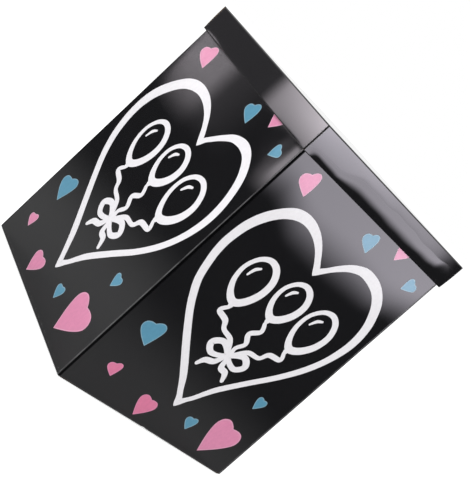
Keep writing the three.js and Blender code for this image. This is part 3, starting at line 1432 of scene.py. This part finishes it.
    def build(self) -> bpy.types.Object:
        """Finish the films as one piece that rides on the body.

        Returns:
            The new object.
        """
        bmesh.ops.recalc_face_normals(self.bm, faces=self.bm.faces)
        piece = finished(self.bm, self.name, [self.ink])
        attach(piece, "body")
        LOG.info("%s: %d films", piece.name, self.layers)
        return piece


@dataclass(frozen=True)
class Artwork:
    """What is printed on one side: the big brush heart, the balloons in it and the small hearts."""

    left_half: Stroke
    right_half: Stroke
    small: Sequence[SmallHeart]
    doodle_shift: Point2 = (0, 0)


# The right half of the plain heart, from its tip to its notch, as shares of its height, with the
# height at which it is widest, the height of its middle and the points drawn for each stretch.
HEART_HALF = (
    (0.0, -0.55), (0.13, -0.4), (0.3, -0.19), (0.44, 0.03), (0.5, 0.2),
    (0.47, 0.34), (0.37, 0.43), (0.25, 0.455), (0.11, 0.43), (0.0, 0.385),
)
HEART_WIDEST = 0.2
HEART_MIDDLE = 0.05
HEART_STEPS = 4

FRONT_ART = Artwork(
    left_half=Stroke((
        (20, 413.8, 16.5), (0, 433.8, 12.2), (-20, 449.8, 13.2), (-40, 460.5, 15.3), (-60, 467, 17.3),
        (-80, 469.8, 18.5), (-100, 469, 20.5), (-120, 464.3, 22), (-140, 454.5, 22.5), (-158, 439, 22.5),
        (-176, 417, 23.5), (-188.5, 395, 23.5), (-195, 372, 22.5), (-196.3, 350, 20.8), (-192.5, 321, 19.8),
        (-180, 286, 18), (-156, 249, 16), (-120, 210, 15.3), (-80, 170, 15.5), (-45, 135, 16),
        (-24, 110, 14), (-10, 92, 13), (-1, 80, 17.5),
    ), upright_ends=True),
    right_half=Stroke((
        (-1, 80, 17.5), (8, 91.5, 11), (15, 100, 10.3), (28.5, 120, 12), (44.5, 140, 13.2), (84, 180, 12.7),
        (125, 220, 12.3), (157, 260, 13.2), (178.3, 300, 14.2), (189.3, 340, 16.3), (190, 375, 17.5),
        (182, 409, 17.5), (166, 440, 18.4), (140, 463.5, 18.6), (112, 471.5, 18.8), (80, 465.8, 15.2),
        (55, 449.5, 12), (38, 434.5, 11), (27, 424, 11), (20, 413.8, 16.5),
    ), upright_ends=True),
    small=(
        SmallHeart(-158, 514, 46.5, 35, InkColour.PINK, 1.04, 0.03, 0.08, -0.11),
        SmallHeart(55.5, 513, 39, 27, InkColour.BLUE, 0.97, 0.055, 0.1, 0.05),
        SmallHeart(122, 548, 48, -6, InkColour.PINK),
        SmallHeart(182.5, 505, 27, -24, InkColour.BLUE, 0.94, -0.08, -0.22, -0.1),
        SmallHeart(-163.5, 155, 52, 24, InkColour.BLUE, 1.03, 0.05, -0.03, -0.06),
        SmallHeart(146.5, 165, 26, -10, InkColour.BLUE),
        SmallHeart(-163.5, 67, 27, 22, InkColour.PINK, 1.04),
        SmallHeart(-50.5, 40, 44, -8, InkColour.PINK, 1.08, -0.04, -0.07, 0.06),
        SmallHeart(59, 60, 27, 10, InkColour.BLUE),
        SmallHeart(143, 66, 82, -15, InkColour.PINK, 0.98, -0.05, -0.09, 0.0),
    ),
)

RIGHT_ART = Artwork(
    left_half=Stroke((
        (-7, 412.5, 17), (-20, 425.2, 12.5), (-40, 442.5, 13.2), (-60, 455, 15), (-80, 463, 17),
        (-100, 467, 18.5), (-120, 466.5, 20.5), (-140, 460, 22), (-160, 444.8, 20.5), (-178, 422, 20.5),
        (-190.5, 394, 19.5), (-195.5, 362, 17.8), (-195, 340, 17), (-190, 315, 16), (-177, 278, 15.2),
        (-157, 248, 14.5), (-133, 220, 14), (-93, 180, 14.5), (-51, 140, 14.5), (-31, 120, 13.5),
        (-14, 100, 11.5), (-3, 87.5, 12), (5, 75.5, 18),
    ), upright_ends=True),
    right_half=Stroke((
        (5, 75.5, 18), (13, 87, 11), (23.5, 100, 10.5), (36, 120, 12), (50.5, 140, 13), (87.5, 180, 12.8),
        (126, 220, 13.2), (158, 260, 15), (180, 300, 16.3), (191.5, 340, 19.2), (192.5, 370, 20.5),
        (186, 398, 21), (174.5, 420, 21.5), (158, 441, 22), (135, 457.5, 21), (110, 466.5, 21),
        (80, 470, 19.5), (60, 466, 17), (40, 456.3, 15), (20, 440, 12.5), (5, 424.5, 11.5), (-7, 412.5, 17),
    ), upright_ends=True),
    small=(
        SmallHeart(-169, 510, 44, 32, InkColour.PINK, 0.92, 0.05, 0.05, 0.08),
        SmallHeart(25, 512, 39, 28, InkColour.BLUE, 0.92, 0.01, 0.08, 0.0),
        SmallHeart(101, 547, 48, -6, InkColour.PINK),
        SmallHeart(180, 505, 30, -27, InkColour.BLUE, 1.07, -0.07, -0.23, 0.03),
        SmallHeart(-158.5, 152, 50, 24, InkColour.BLUE, 0.98, 0.05, 0.02, -0.06),
        SmallHeart(149.5, 161.5, 28, -10, InkColour.BLUE),
        SmallHeart(-153.5, 64, 28, 22, InkColour.DEEP_PINK, 1.04),
        SmallHeart(-42.5, 36.5, 45, -8, InkColour.DEEP_PINK, 1.01, -0.015, 0.0, 0.0),
        SmallHeart(65.5, 56.5, 28, 10, InkColour.BLUE),
        SmallHeart(150, 61, 83, -15, InkColour.PINK, 0.97, -0.045, -0.08, 0.0),
    ),
    doodle_shift=(-4, -6),
)


@dataclass(frozen=True)
class Balloon:
    """A balloon drawn with one brush line: its middle, half sizes and lean, in millimetres.

    The slimming, the drop and the reaches are shares of the half sizes. The swell is how much
    wider the brush line gets on one side, and the swell turn where.
    """

    x: float
    z: float
    half_width: float
    half_height: float
    lean: float
    brush: float = 13
    points: int = 10
    slimming: float = 0.16
    drop: float = 0.08
    swell: float = 0.28
    swell_turn: float = 0.6
    shine_reach: Point2 = (0.52, 0.56)
    shine_angles: tuple[float, float, float] = (105, 135, 168)
    shine_widths: tuple[float, float, float] = (4.5, 7, 4.5)
    neck_reach: float = 1.1
    neck_length: float = 6
    neck_widths: Point2 = (4.5, 12)

    def outline(self) -> Stroke:
        """Draw the balloon, slimmer towards its neck.

        Returns:
            Its closed line.
        """
        stations = []
        for index in range(self.points):
            angle = math.tau * index / self.points - QUARTER
            low = max(0.0, -math.sin(angle))
            across = self.half_width * math.cos(angle) * (1 - self.slimming * low)
            up = self.half_height * (math.sin(angle) - self.drop * low ** 4)
            thick = self.brush * (1 + self.swell * math.cos(angle + self.swell_turn))
            stations.append((*self.leaning(across, up), thick))
        return Stroke(stations, closed=True)

    def leaning(self, across: float, up: float) -> Point2:
        """Find a place on the leaning balloon.

        Args:
            across: Distance to the right of its middle, before it leans.
            up: Distance over its middle, before it leans.

        Returns:
            The place on the wall.
        """
        turn = math.radians(self.lean)
        x = self.x + across * math.cos(turn) + up * math.sin(turn)
        return x, self.z + up * math.cos(turn) - across * math.sin(turn)

    def shine(self) -> Stroke:
        """Draw the light on the balloon.

        Returns:
            A short curved line inside it.
        """
        across, up = self.half_width * self.shine_reach[0], self.half_height * self.shine_reach[1]
        stations = []
        for angle, width in zip(map(math.radians, self.shine_angles), self.shine_widths):
            spot = self.leaning(across * math.cos(angle), up * math.sin(angle))
            stations.append((*spot, width))
        return Stroke(stations)

    def neck(self) -> Stroke:
        """Draw the flared knot under the balloon.

        Returns:
            A short line that widens downwards.
        """
        low = -self.half_height * self.neck_reach
        top, foot = self.leaning(0, low), self.leaning(0, low - self.neck_length)
        return Stroke([(*top, self.neck_widths[0]), (*foot, self.neck_widths[1])])


@dataclass
class BalloonDoodle:
    """Three balloons on curly strings that meet in a bow, in the place inside the big heart."""

    balloons: Sequence[Balloon] = (
        Balloon(-86, 337, 38, 46, -7),
        Balloon(9, 349, 35, 40, 2),
        Balloon(103, 334, 40, 47, 8),
    )
    strings: Sequence[Stroke] = (
        Stroke((
            (-79, 276, 8), (-88, 262, 10), (-62, 254, 11), (-48, 240, 9), (-20, 232, 10), (-3, 213, 11),
        )),
        Stroke(((8, 292, 8), (17, 276, 10), (1, 260, 11), (14, 242, 10), (5, 226, 9), (6, 214, 10))),
        Stroke((
            (95, 272, 8), (102, 257, 10), (74, 252, 11), (62, 236, 9), (34, 232, 10), (15, 213, 11),
        )),
    )
    bow: Sequence[Stroke] = (
        Stroke(((2, 205, 10), (-25, 222, 12), (-45, 209, 14), (-27, 193, 11)), closed=True),
        Stroke(((10, 205, 10), (37, 221, 12), (56, 207, 14), (39, 192, 11)), closed=True),
        Stroke(((2, 199, 10), (-6, 183, 12), (-24, 176, 12), (-32, 163, 8))),
        Stroke(((11, 199, 10), (17, 181, 12), (33, 177, 12), (43, 162, 8))),
    )

    def strokes(self) -> list[Stroke]:
        """Draw the doodle.

        Returns:
            Its strokes, in millimetres on the wall.
        """
        drawn = []
        for balloon in self.balloons:
            drawn += [balloon.outline(), balloon.shine(), balloon.neck()]
        return drawn + list(self.strings) + list(self.bow)


@dataclass
class WallPrint:
    """The print of one wall. A paler border runs inside the edge of each small heart."""

    wall: Wall
    art: Artwork
    border: float = 1.5
    border_proud: float = 0.09 * MM
    border_lanes: int = 2
    inset: float = 0.965

    def heart_outline(self, heart: SmallHeart, share: float = 1.0) -> list[Point2]:
        """Draw the border of a small heart.

        Args:
            heart: The heart.
            share: The share of its size that the border is drawn in to.

        Returns:
            Places on the wall, in metres.
        """
        half = smooth_line(HEART_HALF, HEART_STEPS)
        whole = half + [[-x, z] for x, z in reversed(half[1:-1])]
        return [heart.place(x * share, HEART_MIDDLE + (z - HEART_MIDDLE) * share) for x, z in whole]

    def build(self) -> None:
        """Make the big heart, the doodle in it and the small hearts of each ink."""
        word = self.wall.side.word
        ring = InkFilm(self.wall, f"print_{word}_big_heart", InkColour.WHITE.value)
        halves = ring.sections(self.art.left_half) + ring.sections(self.art.right_half)[1:-1]
        ring.lay(halves, True)
        ring.build()
        doodle = InkFilm(self.wall, f"print_{word}_balloons", InkColour.WHITE.value)
        shift_x, shift_z = self.art.doodle_shift
        for stroke in BalloonDoodle().strokes():
            moved = [(x + shift_x, z + shift_z, width) for x, z, width in stroke.stations]
            doodle.lay(doodle.sections(Stroke(moved, stroke.closed)), stroke.closed)
        doodle.build()
        for ink, pale in BORDERS.items():
            hearts = [heart for heart in self.art.small if heart.ink is ink]
            if not hearts:
                continue
            name = f"print_{word}_{ink.value.name}"
            film = InkFilm(self.wall, f"{name}_hearts", ink.value)
            border = InkFilm(
                self.wall, f"{name}_borders", pale.value, self.border_proud, lanes=self.border_lanes
            )
            for heart in hearts:
                film.fill(self.heart_outline(heart), heart.place(0, HEART_MIDDLE))
                line = self.heart_outline(heart, self.inset)
                stations = [(x / MM, z / MM, self.border) for x, z in line]
                border.lay(border.sections(Stroke(stations, closed=True)), True)
            film.build()
            border.build()


@dataclass
class CreaseStrip:
    """The outer or inner paper that carries on over a bottom flap's crease, bent round it."""

    side: Side
    outside: bool
    paper: float = 0.06 * MM
    reach: float = 7 * MM
    bend: float = 2.5 * MM
    inner_radius: float = CREASE_INNER
    lift: float = BottomFlap.lift
    short: float = 3 * MM
    points: int = 15

    def __post_init__(self) -> None:
        """Take the crease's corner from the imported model."""
        wall_low, _ = self.side.own_box(f"{self.side.word}_panel")
        _, self.flap_high = self.side.own_box(f"bottom_flap_{self.side.word}")
        self.face = wall_low.y if self.outside else wall_low.y + BOARD_THICKNESS
        self.floor = wall_low.z + self.lift if self.outside else self.flap_high.z

    def path(self) -> list[Point2]:
        """Draw the strip's section round the crease.

        Returns:
            Its corners in the side's own frame, from the wall to the flap.
        """
        radius = BOARD_THICKNESS if self.outside else self.inner_radius
        turn = [
            (self.face + radius * (1 - math.cos(a)), self.floor + radius * (1 - math.sin(a)))
            for a in quarter()
        ]
        return [(self.face, self.floor + self.reach), *turn, (self.face + self.reach, self.floor)]

    def build(self) -> bpy.types.Object:
        """Make the strip, bent round the crease between the wall and the flap.

        Returns:
            The new object.
        """
        path = along_path(self.path(), self.points)
        way = 1 if self.outside else -1
        columns = []
        for share in spread(-1, 1, GRID / self.flap_high.x):
            x = share * (self.flap_high.x - self.short)
            outer, inner = [], []
            for index, (y, z) in enumerate(path):
                before, after = path[max(0, index - 1)], path[min(len(path) - 1, index + 1)]
                run = Vector((after[0] - before[0], after[1] - before[1]))
                run = run.normalized() * self.paper * way
                outer.append(self.side.turned(x, y + run.y, z - run.x))
                inner.append(self.side.turned(x, y, z))
            columns.append((outer, inner))
        kind = "outer" if self.outside else "inner"
        coats = (Laminate() if self.outside else Kraft(),) * 3
        piece = Board(f"crease_{kind}_{self.side.word}", columns, coats).make()
        start = self.side.turned(0, self.face, self.floor + self.bend)
        end = self.side.turned(0, self.face + self.bend, self.floor)
        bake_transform(piece)
        LOG.info("%s bends between body and flap_%s", piece.name, self.side.word)
        return piece


@dataclass(frozen=True)
class Viewpoint:
    """The camera of the photograph: its place, its turn about the view and its lens."""

    place: tuple[float, float, float] = (1594.62 * MM, -1372.43 * MM, 626.02 * MM)
    azimuth: float = math.radians(49.036)
    elevation: float = math.radians(8.213)
    roll: float = math.radians(47.744)
    lens: float = 85.22
    sensor: float = 36
    clip: Point2 = (10 * MM, 100)

    def build(self) -> bpy.types.Object:
        """Make the camera and set it as the scene's.

        Returns:
            The camera.
        """
        azimuth, elevation = self.azimuth, self.elevation
        flat = math.cos(elevation)
        back = Vector((math.sin(azimuth) * flat, -math.cos(azimuth) * flat, math.sin(elevation)))
        level = Vector((math.cos(azimuth), math.sin(azimuth), 0))
        upright = back.cross(level)
        right = level * math.cos(self.roll) + upright * math.sin(self.roll)
        above = upright * math.cos(self.roll) - level * math.sin(self.roll)
        turn = Matrix((right, above, back)).transposed()
        data = bpy.data.cameras.new("camera")
        data.lens, data.sensor_width, data.sensor_fit = self.lens, self.sensor, "AUTO"
        data.clip_start, data.clip_end = self.clip
        camera = bpy.data.objects.new("camera", data)
        camera.matrix_world = Matrix.Translation(self.place) @ turn.to_4x4()
        bpy.context.scene.collection.objects.link(camera)
        bpy.context.scene.camera = camera
        return camera


VIEWPOINT = Viewpoint()


@dataclass(frozen=True)
class Reflector(Finish):
    """A soft light panel of the studio, placed by the patch of a face that mirrors it.

    The patch is given in the side's own frame, in millimetres: from and to along the face, and
    from and to up it. The four soft shares say how much of the panel fades out at its left,
    right, lower and upper edge. The levels are those of its lower left, lower right, upper left
    and upper right corner. The lean says how far the left edge runs in at the foot, and the rises
    how much higher the lower edge lies at its left and its right end; the rise reaches are the
    places along the panel between which it comes down and goes up. The colours are those of the
    front's and the right side's panels.
    """

    name: str
    side: Side
    plane: float
    patch: tuple[float, float, float, float]
    soft: tuple[float, float, float, float]
    levels: tuple[float, float, float, float]
    lean: float = 0.0
    rises: tuple[float, float] = (0.0, 0.0)
    rise_reaches: tuple[float, float, float, float] = (0.17, 0.36, 0.68, 0.86)
    distance: float = 2000 * MM
    colours: tuple = ((1.01, 0.935, 1.005, 1), (0.995, 0.945, 1.055, 1))

    def corner(self, x: float, z: float) -> Vector:
        """Find the place that the camera sees mirrored in the face.

        Args:
            x: Place along the face, in millimetres.
            z: Height on the face, in millimetres.

        Returns:
            Where the mirrored view meets the panel's plane.
        """
        eye = self.side.inverse.turned(*VIEWPOINT.place)
        spot = Vector((x * MM, self.plane, z * MM))
        mirrored = Vector((eye.x, 2 * self.plane - eye.y, eye.z))
        ray = spot - mirrored
        share = -self.distance / ray.y
        return self.side.turned(*(spot + ray * share))

    def title(self) -> str:
        """Name of the material."""
        return self.name

    def dress(self, tree: Tree) -> None:
        """Add the panel's light, which fades towards its edges.

        Args:
            tree: Tree of the finish, which is empty.
        """
        _, across, up = surface_nodes(tree)
        left, right, low, high = self.soft
        leaning = tree.sum("MULTIPLY", tree.sum("SUBTRACT", 1, up), self.lean)
        left_rise = tree.between(across, *self.rise_reaches[:2], self.rises[0], 0)
        right_rise = tree.between(across, *self.rise_reaches[2:], 0, self.rises[1])
        raised = tree.sum("ADD", left_rise, right_rise)
        fades = [
            tree.between(tree.sum("SUBTRACT", across, leaning), 0, left),
            tree.between(across, 1 - right, 1, 1, 0),
            tree.between(tree.sum("SUBTRACT", up, raised), 0, low),
            tree.between(up, 1 - high, 1, 1, 0),
        ]
        fade = tree.sum("MULTIPLY", tree.sum("MULTIPLY", *fades[:2]), tree.sum("MULTIPLY", *fades[2:]))
        lower, upper = (
            tree.add("ShaderNodeMapRange", {"Value": across, 3: pair[0], 4: pair[1]}).outputs[0]
            for pair in (self.levels[:2], self.levels[2:])
        )
        level = tree.add("ShaderNodeMapRange", {"Value": up, 3: lower, 4: upper}).outputs[0]
        strength = tree.sum("MULTIPLY", fade, level)
        colour = self.colours[self.side.value]
        glow = tree.add("ShaderNodeEmission", {"Color": colour, "Strength": strength})
        clear = tree.add("ShaderNodeBsdfTransparent")
        mixed = tree.add("ShaderNodeAddShader", {0: clear.outputs[0], 1: glow.outputs[0]})
        tree.add("ShaderNodeOutputMaterial", {0: mixed.outputs[0]})

    def build(self) -> bpy.types.Object:
        """Make the panel, which only the gloss of the box sees.

        Returns:
            The panel.
        """
        x_from, x_to, z_from, z_to = self.patch
        bm = bmesh.new()
        uv = bm.loops.layers.uv.new("metres")
        spots = ((x_from, z_from, 0, 0), (x_to, z_from, 1, 0), (x_to, z_to, 1, 1), (x_from, z_to, 0, 1))
        made = bm.faces.new([bm.verts.new(self.corner(x, z)) for x, z, _, _ in spots])
        for loop, (_, _, across, up) in zip(made.loops, spots):
            loop[uv].uv = (across, up)
        panel = finished(bm, self.name, [self])
        panel.visible_camera = panel.visible_diffuse = False
        panel.visible_shadow = panel.visible_transmission = False
        return panel


@dataclass(frozen=True)
class Floor(Finish):
    """The pale floor: white to the eye with the box's shadow, painted darker further out to gloss.

    It is clear from below and to short rays above it, longer ones under the box, so that the
    bottom of the box is lit and seen. The drop leaves room for the flaps when they are folded
    out. The pool is a painted pool of light: the paler middle that the gloss sees.
    """

    size: float = 240
    drop: float = 1.7 * MM
    open_reach: float = 5 * MM
    under_reach: float = 15 * MM
    tone: float = 0.8
    glow: float = 0.62
    grain_scale: float = 3.0
    grain_range: Row = (0.3, 0.7, 0.96, 1.0)
    # Middle and fall-off of the painted pool of light that the gloss sees.
    pool_middle: tuple = (-0.15, -0.25, 0)
    pool_range: Row = (0.3, 1.4, 0.56, 0.04)

    def title(self) -> str:
        """Name of the material."""
        return "floor"

    def openness(self, tree: Tree, rays: bpy.types.NodeOutputs, place: object) -> object:
        """Add the nodes that tell where the floor is clear.

        Args:
            tree: Tree of the finish.
            rays: Outputs of its Light Path node.
            place: Socket of the place on the floor.

        Returns:
            A socket that is 1 where the floor is clear, else 0.
        """
        below = tree.add("ShaderNodeNewGeometry").outputs["Backfacing"]
        spot = tree.add("ShaderNodeSeparateXYZ", {0: place}).outputs
        off = tree.sum("MAXIMUM", tree.sum("ABSOLUTE", spot[0]), tree.sum("ABSOLUTE", spot[1]))
        under = tree.sum("LESS_THAN", off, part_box("right_panel")[1].x)
        limit = tree.sum("MULTIPLY_ADD", under, self.under_reach, self.open_reach)
        return tree.sum("MAXIMUM", below, tree.sum("LESS_THAN", rays["Ray Length"], limit))

    def dress(self, tree: Tree) -> None:
        """Add the floor's tone to the eye, its painted pool of light for gloss, and its openness.

        Args:
            tree: Tree of the finish, which is empty.
        """
        rays = tree.add("ShaderNodeLightPath").outputs
        place = tree.add("ShaderNodeNewGeometry").outputs["Position"]
        # Painted pool of light: to gloss the floor is paler near the box and painted darker further out.
        gap = {0: place, 1: self.pool_middle}
        reach = tree.add("ShaderNodeVectorMath", gap, operation="DISTANCE").outputs["Value"]
        pool = tree.between(reach, *self.pool_range)
        grain = tree.between(tree.noise(place, self.grain_scale, detail=3), *self.grain_range)
        plain = tree.sum("MULTIPLY", grain, self.tone)
        gloss_ray = tree.sum("MAXIMUM", rays["Is Glossy Ray"], rays["Is Transmission Ray"])
        seen = tree.sum("MULTIPLY", plain, tree.sum("SUBTRACT", 1, gloss_ray))
        tone = tree.sum("ADD", seen, tree.sum("MULTIPLY", pool, gloss_ray))
        matte = tree.add("ShaderNodeBsdfDiffuse", {"Color": tone})
        strength = tree.sum("MULTIPLY", rays["Is Camera Ray"], self.glow)
        glow = tree.add("ShaderNodeEmission", {"Color": (1, 1, 1, 1), "Strength": strength})
        both = tree.add("ShaderNodeAddShader", {0: matte.outputs[0], 1: glow.outputs[0]})
        clear = tree.add("ShaderNodeBsdfTransparent")
        shaders = {0: self.openness(tree, rays, place), 1: both.outputs[0], 2: clear.outputs[0]}
        one_way = tree.add("ShaderNodeMixShader", shaders)
        tree.add("ShaderNodeOutputMaterial", {0: one_way.outputs[0]})

    def build(self) -> bpy.types.Object:
        """Make the floor.

        Returns:
            The floor.
        """
        bm = bmesh.new()
        half = self.size / 2
        corners = [(-half, -half), (half, -half), (half, half), (-half, half)]
        bm.faces.new([bm.verts.new((x, y, -self.drop)) for x, y in corners])
        floor = finished(bm, "floor", [self])
        return floor


@dataclass
class Studio:
    """The pale floor, the white surroundings, three soft lamps and the reflector panels."""

    ambient: float = 0.66
    lamp_size: float = 1.6
    lamps: Sequence[tuple[str, tuple, float]] = (
        ("key_lamp", (0.6, -2.4, 1.9), 47),
        ("fill_lamp", (2.3, 0.9, 1.5), 20.3),
        ("back_lamp", (-1.8, 2.2, 1.8), 20),
    )

    def surroundings(self) -> None:
        """Make the world: white where it is seen, a plain ambient light where it isn't."""
        world = bpy.data.worlds.new("studio")
        world.use_nodes = True
        bpy.context.scene.world = world
        tree = Tree(world.node_tree)
        rays = tree.add("ShaderNodeLightPath").outputs
        mirrored = tree.sum("MAXIMUM", rays["Is Glossy Ray"], rays["Is Transmission Ray"])
        seen = tree.sum("MAXIMUM", rays["Is Camera Ray"], mirrored)
        strength = tree.between(seen, 0, 1, self.ambient, 1)
        sky = tree.add("ShaderNodeBackground", {"Color": (1, 1, 1, 1), "Strength": strength})
        tree.add("ShaderNodeOutputWorld", {0: sky.outputs[0]})

    def lamp(self, name: str, place: tuple, power: float) -> None:
        """Hang a soft lamp that faces the box.

        Args:
            name: Name of the lamp.
            place: Where it hangs, in metres.
            power: Its power in watts.
        """
        data = bpy.data.lights.new(name, "AREA")
        data.shape, data.size, data.energy = "SQUARE", self.lamp_size, power
        lamp = bpy.data.objects.new(name, data)
        lamp.location = place
        aim = (CAD_BOX[0] + CAD_BOX[1]) / 2 - Vector(place)
        lamp.rotation_mode = "QUATERNION"
        lamp.rotation_quaternion = aim.to_track_quat("-Z", "Y")
        lamp.visible_glossy = False
        bpy.context.scene.collection.objects.link(lamp)

    def reflectors(self) -> list[Reflector]:
        """Lay out the soft panels that the front and the right face and rim mirror.

        Returns:
            The panels.
        """
        front, right = Side.FRONT, Side.RIGHT
        face, flank = (side.own_box(f"{side.word}_panel")[0].y for side in (front, right))
        rim_face, rim_flank = (side.own_box(f"lid_rim_{side.word}")[0].y for side in (front, right))
        return [
            Reflector(
                "face_panel", front, face, (-238, -30, 385, 545), soft=(0.1, 0.38, 0.7, 0.02),
                levels=(2.85, 2.85, 2.85, 2.85), lean=0.19,
            ),
            Reflector(
                "face_haze", front, face, (-238, 112, 400, 545), soft=(0.06, 0.45, 0.4, 0.02),
                levels=(0.3, 0.3, 0.3, 0.3),
            ),
            Reflector(
                "edge_panel", front, face, (187, 262, 434, 543), soft=(0.18, 0.1, 0.6, 0.06),
                levels=(3.9, 3.9, 3.7, 3.7),
            ),
            Reflector(
                "rim_shade", front, rim_face, (-300, 60, 540, 660), soft=(0.02, 0.06, 0.03, 0.02),
                levels=(0.2, 0.2, 0.2, 0.2),
            ),
            Reflector(
                "rim_face_panel", front, rim_face, (43, 300, 545, 640), soft=(0.19, 0.02, 0.02, 0.02),
                levels=(2.9, 3.1, 3.8, 19),
            ),
            Reflector(
                "flank_panel", right, flank, (-330, 262, 405, 556), soft=(0.05, 0.075, 0.63, 0.06),
                levels=(5.4, 5.4, 5.4, 5.4), rises=(0.25, 0.16), rise_reaches=(0.19, 0.4, 0.757, 0.957),
            ),
            Reflector(
                "rim_flank_panel", right, rim_flank, (-330, 280, 546, 640), soft=(0.02, 0.28, 0.1, 0.02),
                levels=(5.0, 3.94, 16, 2.0),
            ),
        ]

    def build(self) -> None:
        """Make the studio and set how its light is shown."""
        Floor().build()
        self.surroundings()
        for name, place, power in self.lamps:
            self.lamp(name, place, power)
        panels = [reflector.build() for reflector in self.reflectors()]
        LOG.info("studio: a floor, %d lamps and %d panels", len(self.lamps), len(panels))
        bpy.context.scene.view_settings.view_transform = "Standard"


def main() -> None:
    """Build the camera, the box, its prints and the studio, in that order."""
    logging.basicConfig(level=logging.INFO, format="%(name)s: %(message)s")
    VIEWPOINT.build()
    walls = [Wall(Side.FRONT), Wall(Side.RIGHT), Wall(Side.BACK, creased=False), Wall(Side.LEFT)]
    for wall, art in zip(walls, (FRONT_ART, RIGHT_ART, FRONT_ART, RIGHT_ART)):
        wall.build()
        WallPrint(wall, art).build()
    GlueFlap().build()
    for side in Side:
        outside = side in (Side.FRONT, Side.BACK)
        BottomFlap(side, "black_laminate" if outside else "board_back").build()
        CreaseStrip(side, outside).build()
    TrayLid().build()
    Studio().build()


if __name__ == "__main__":
    main()
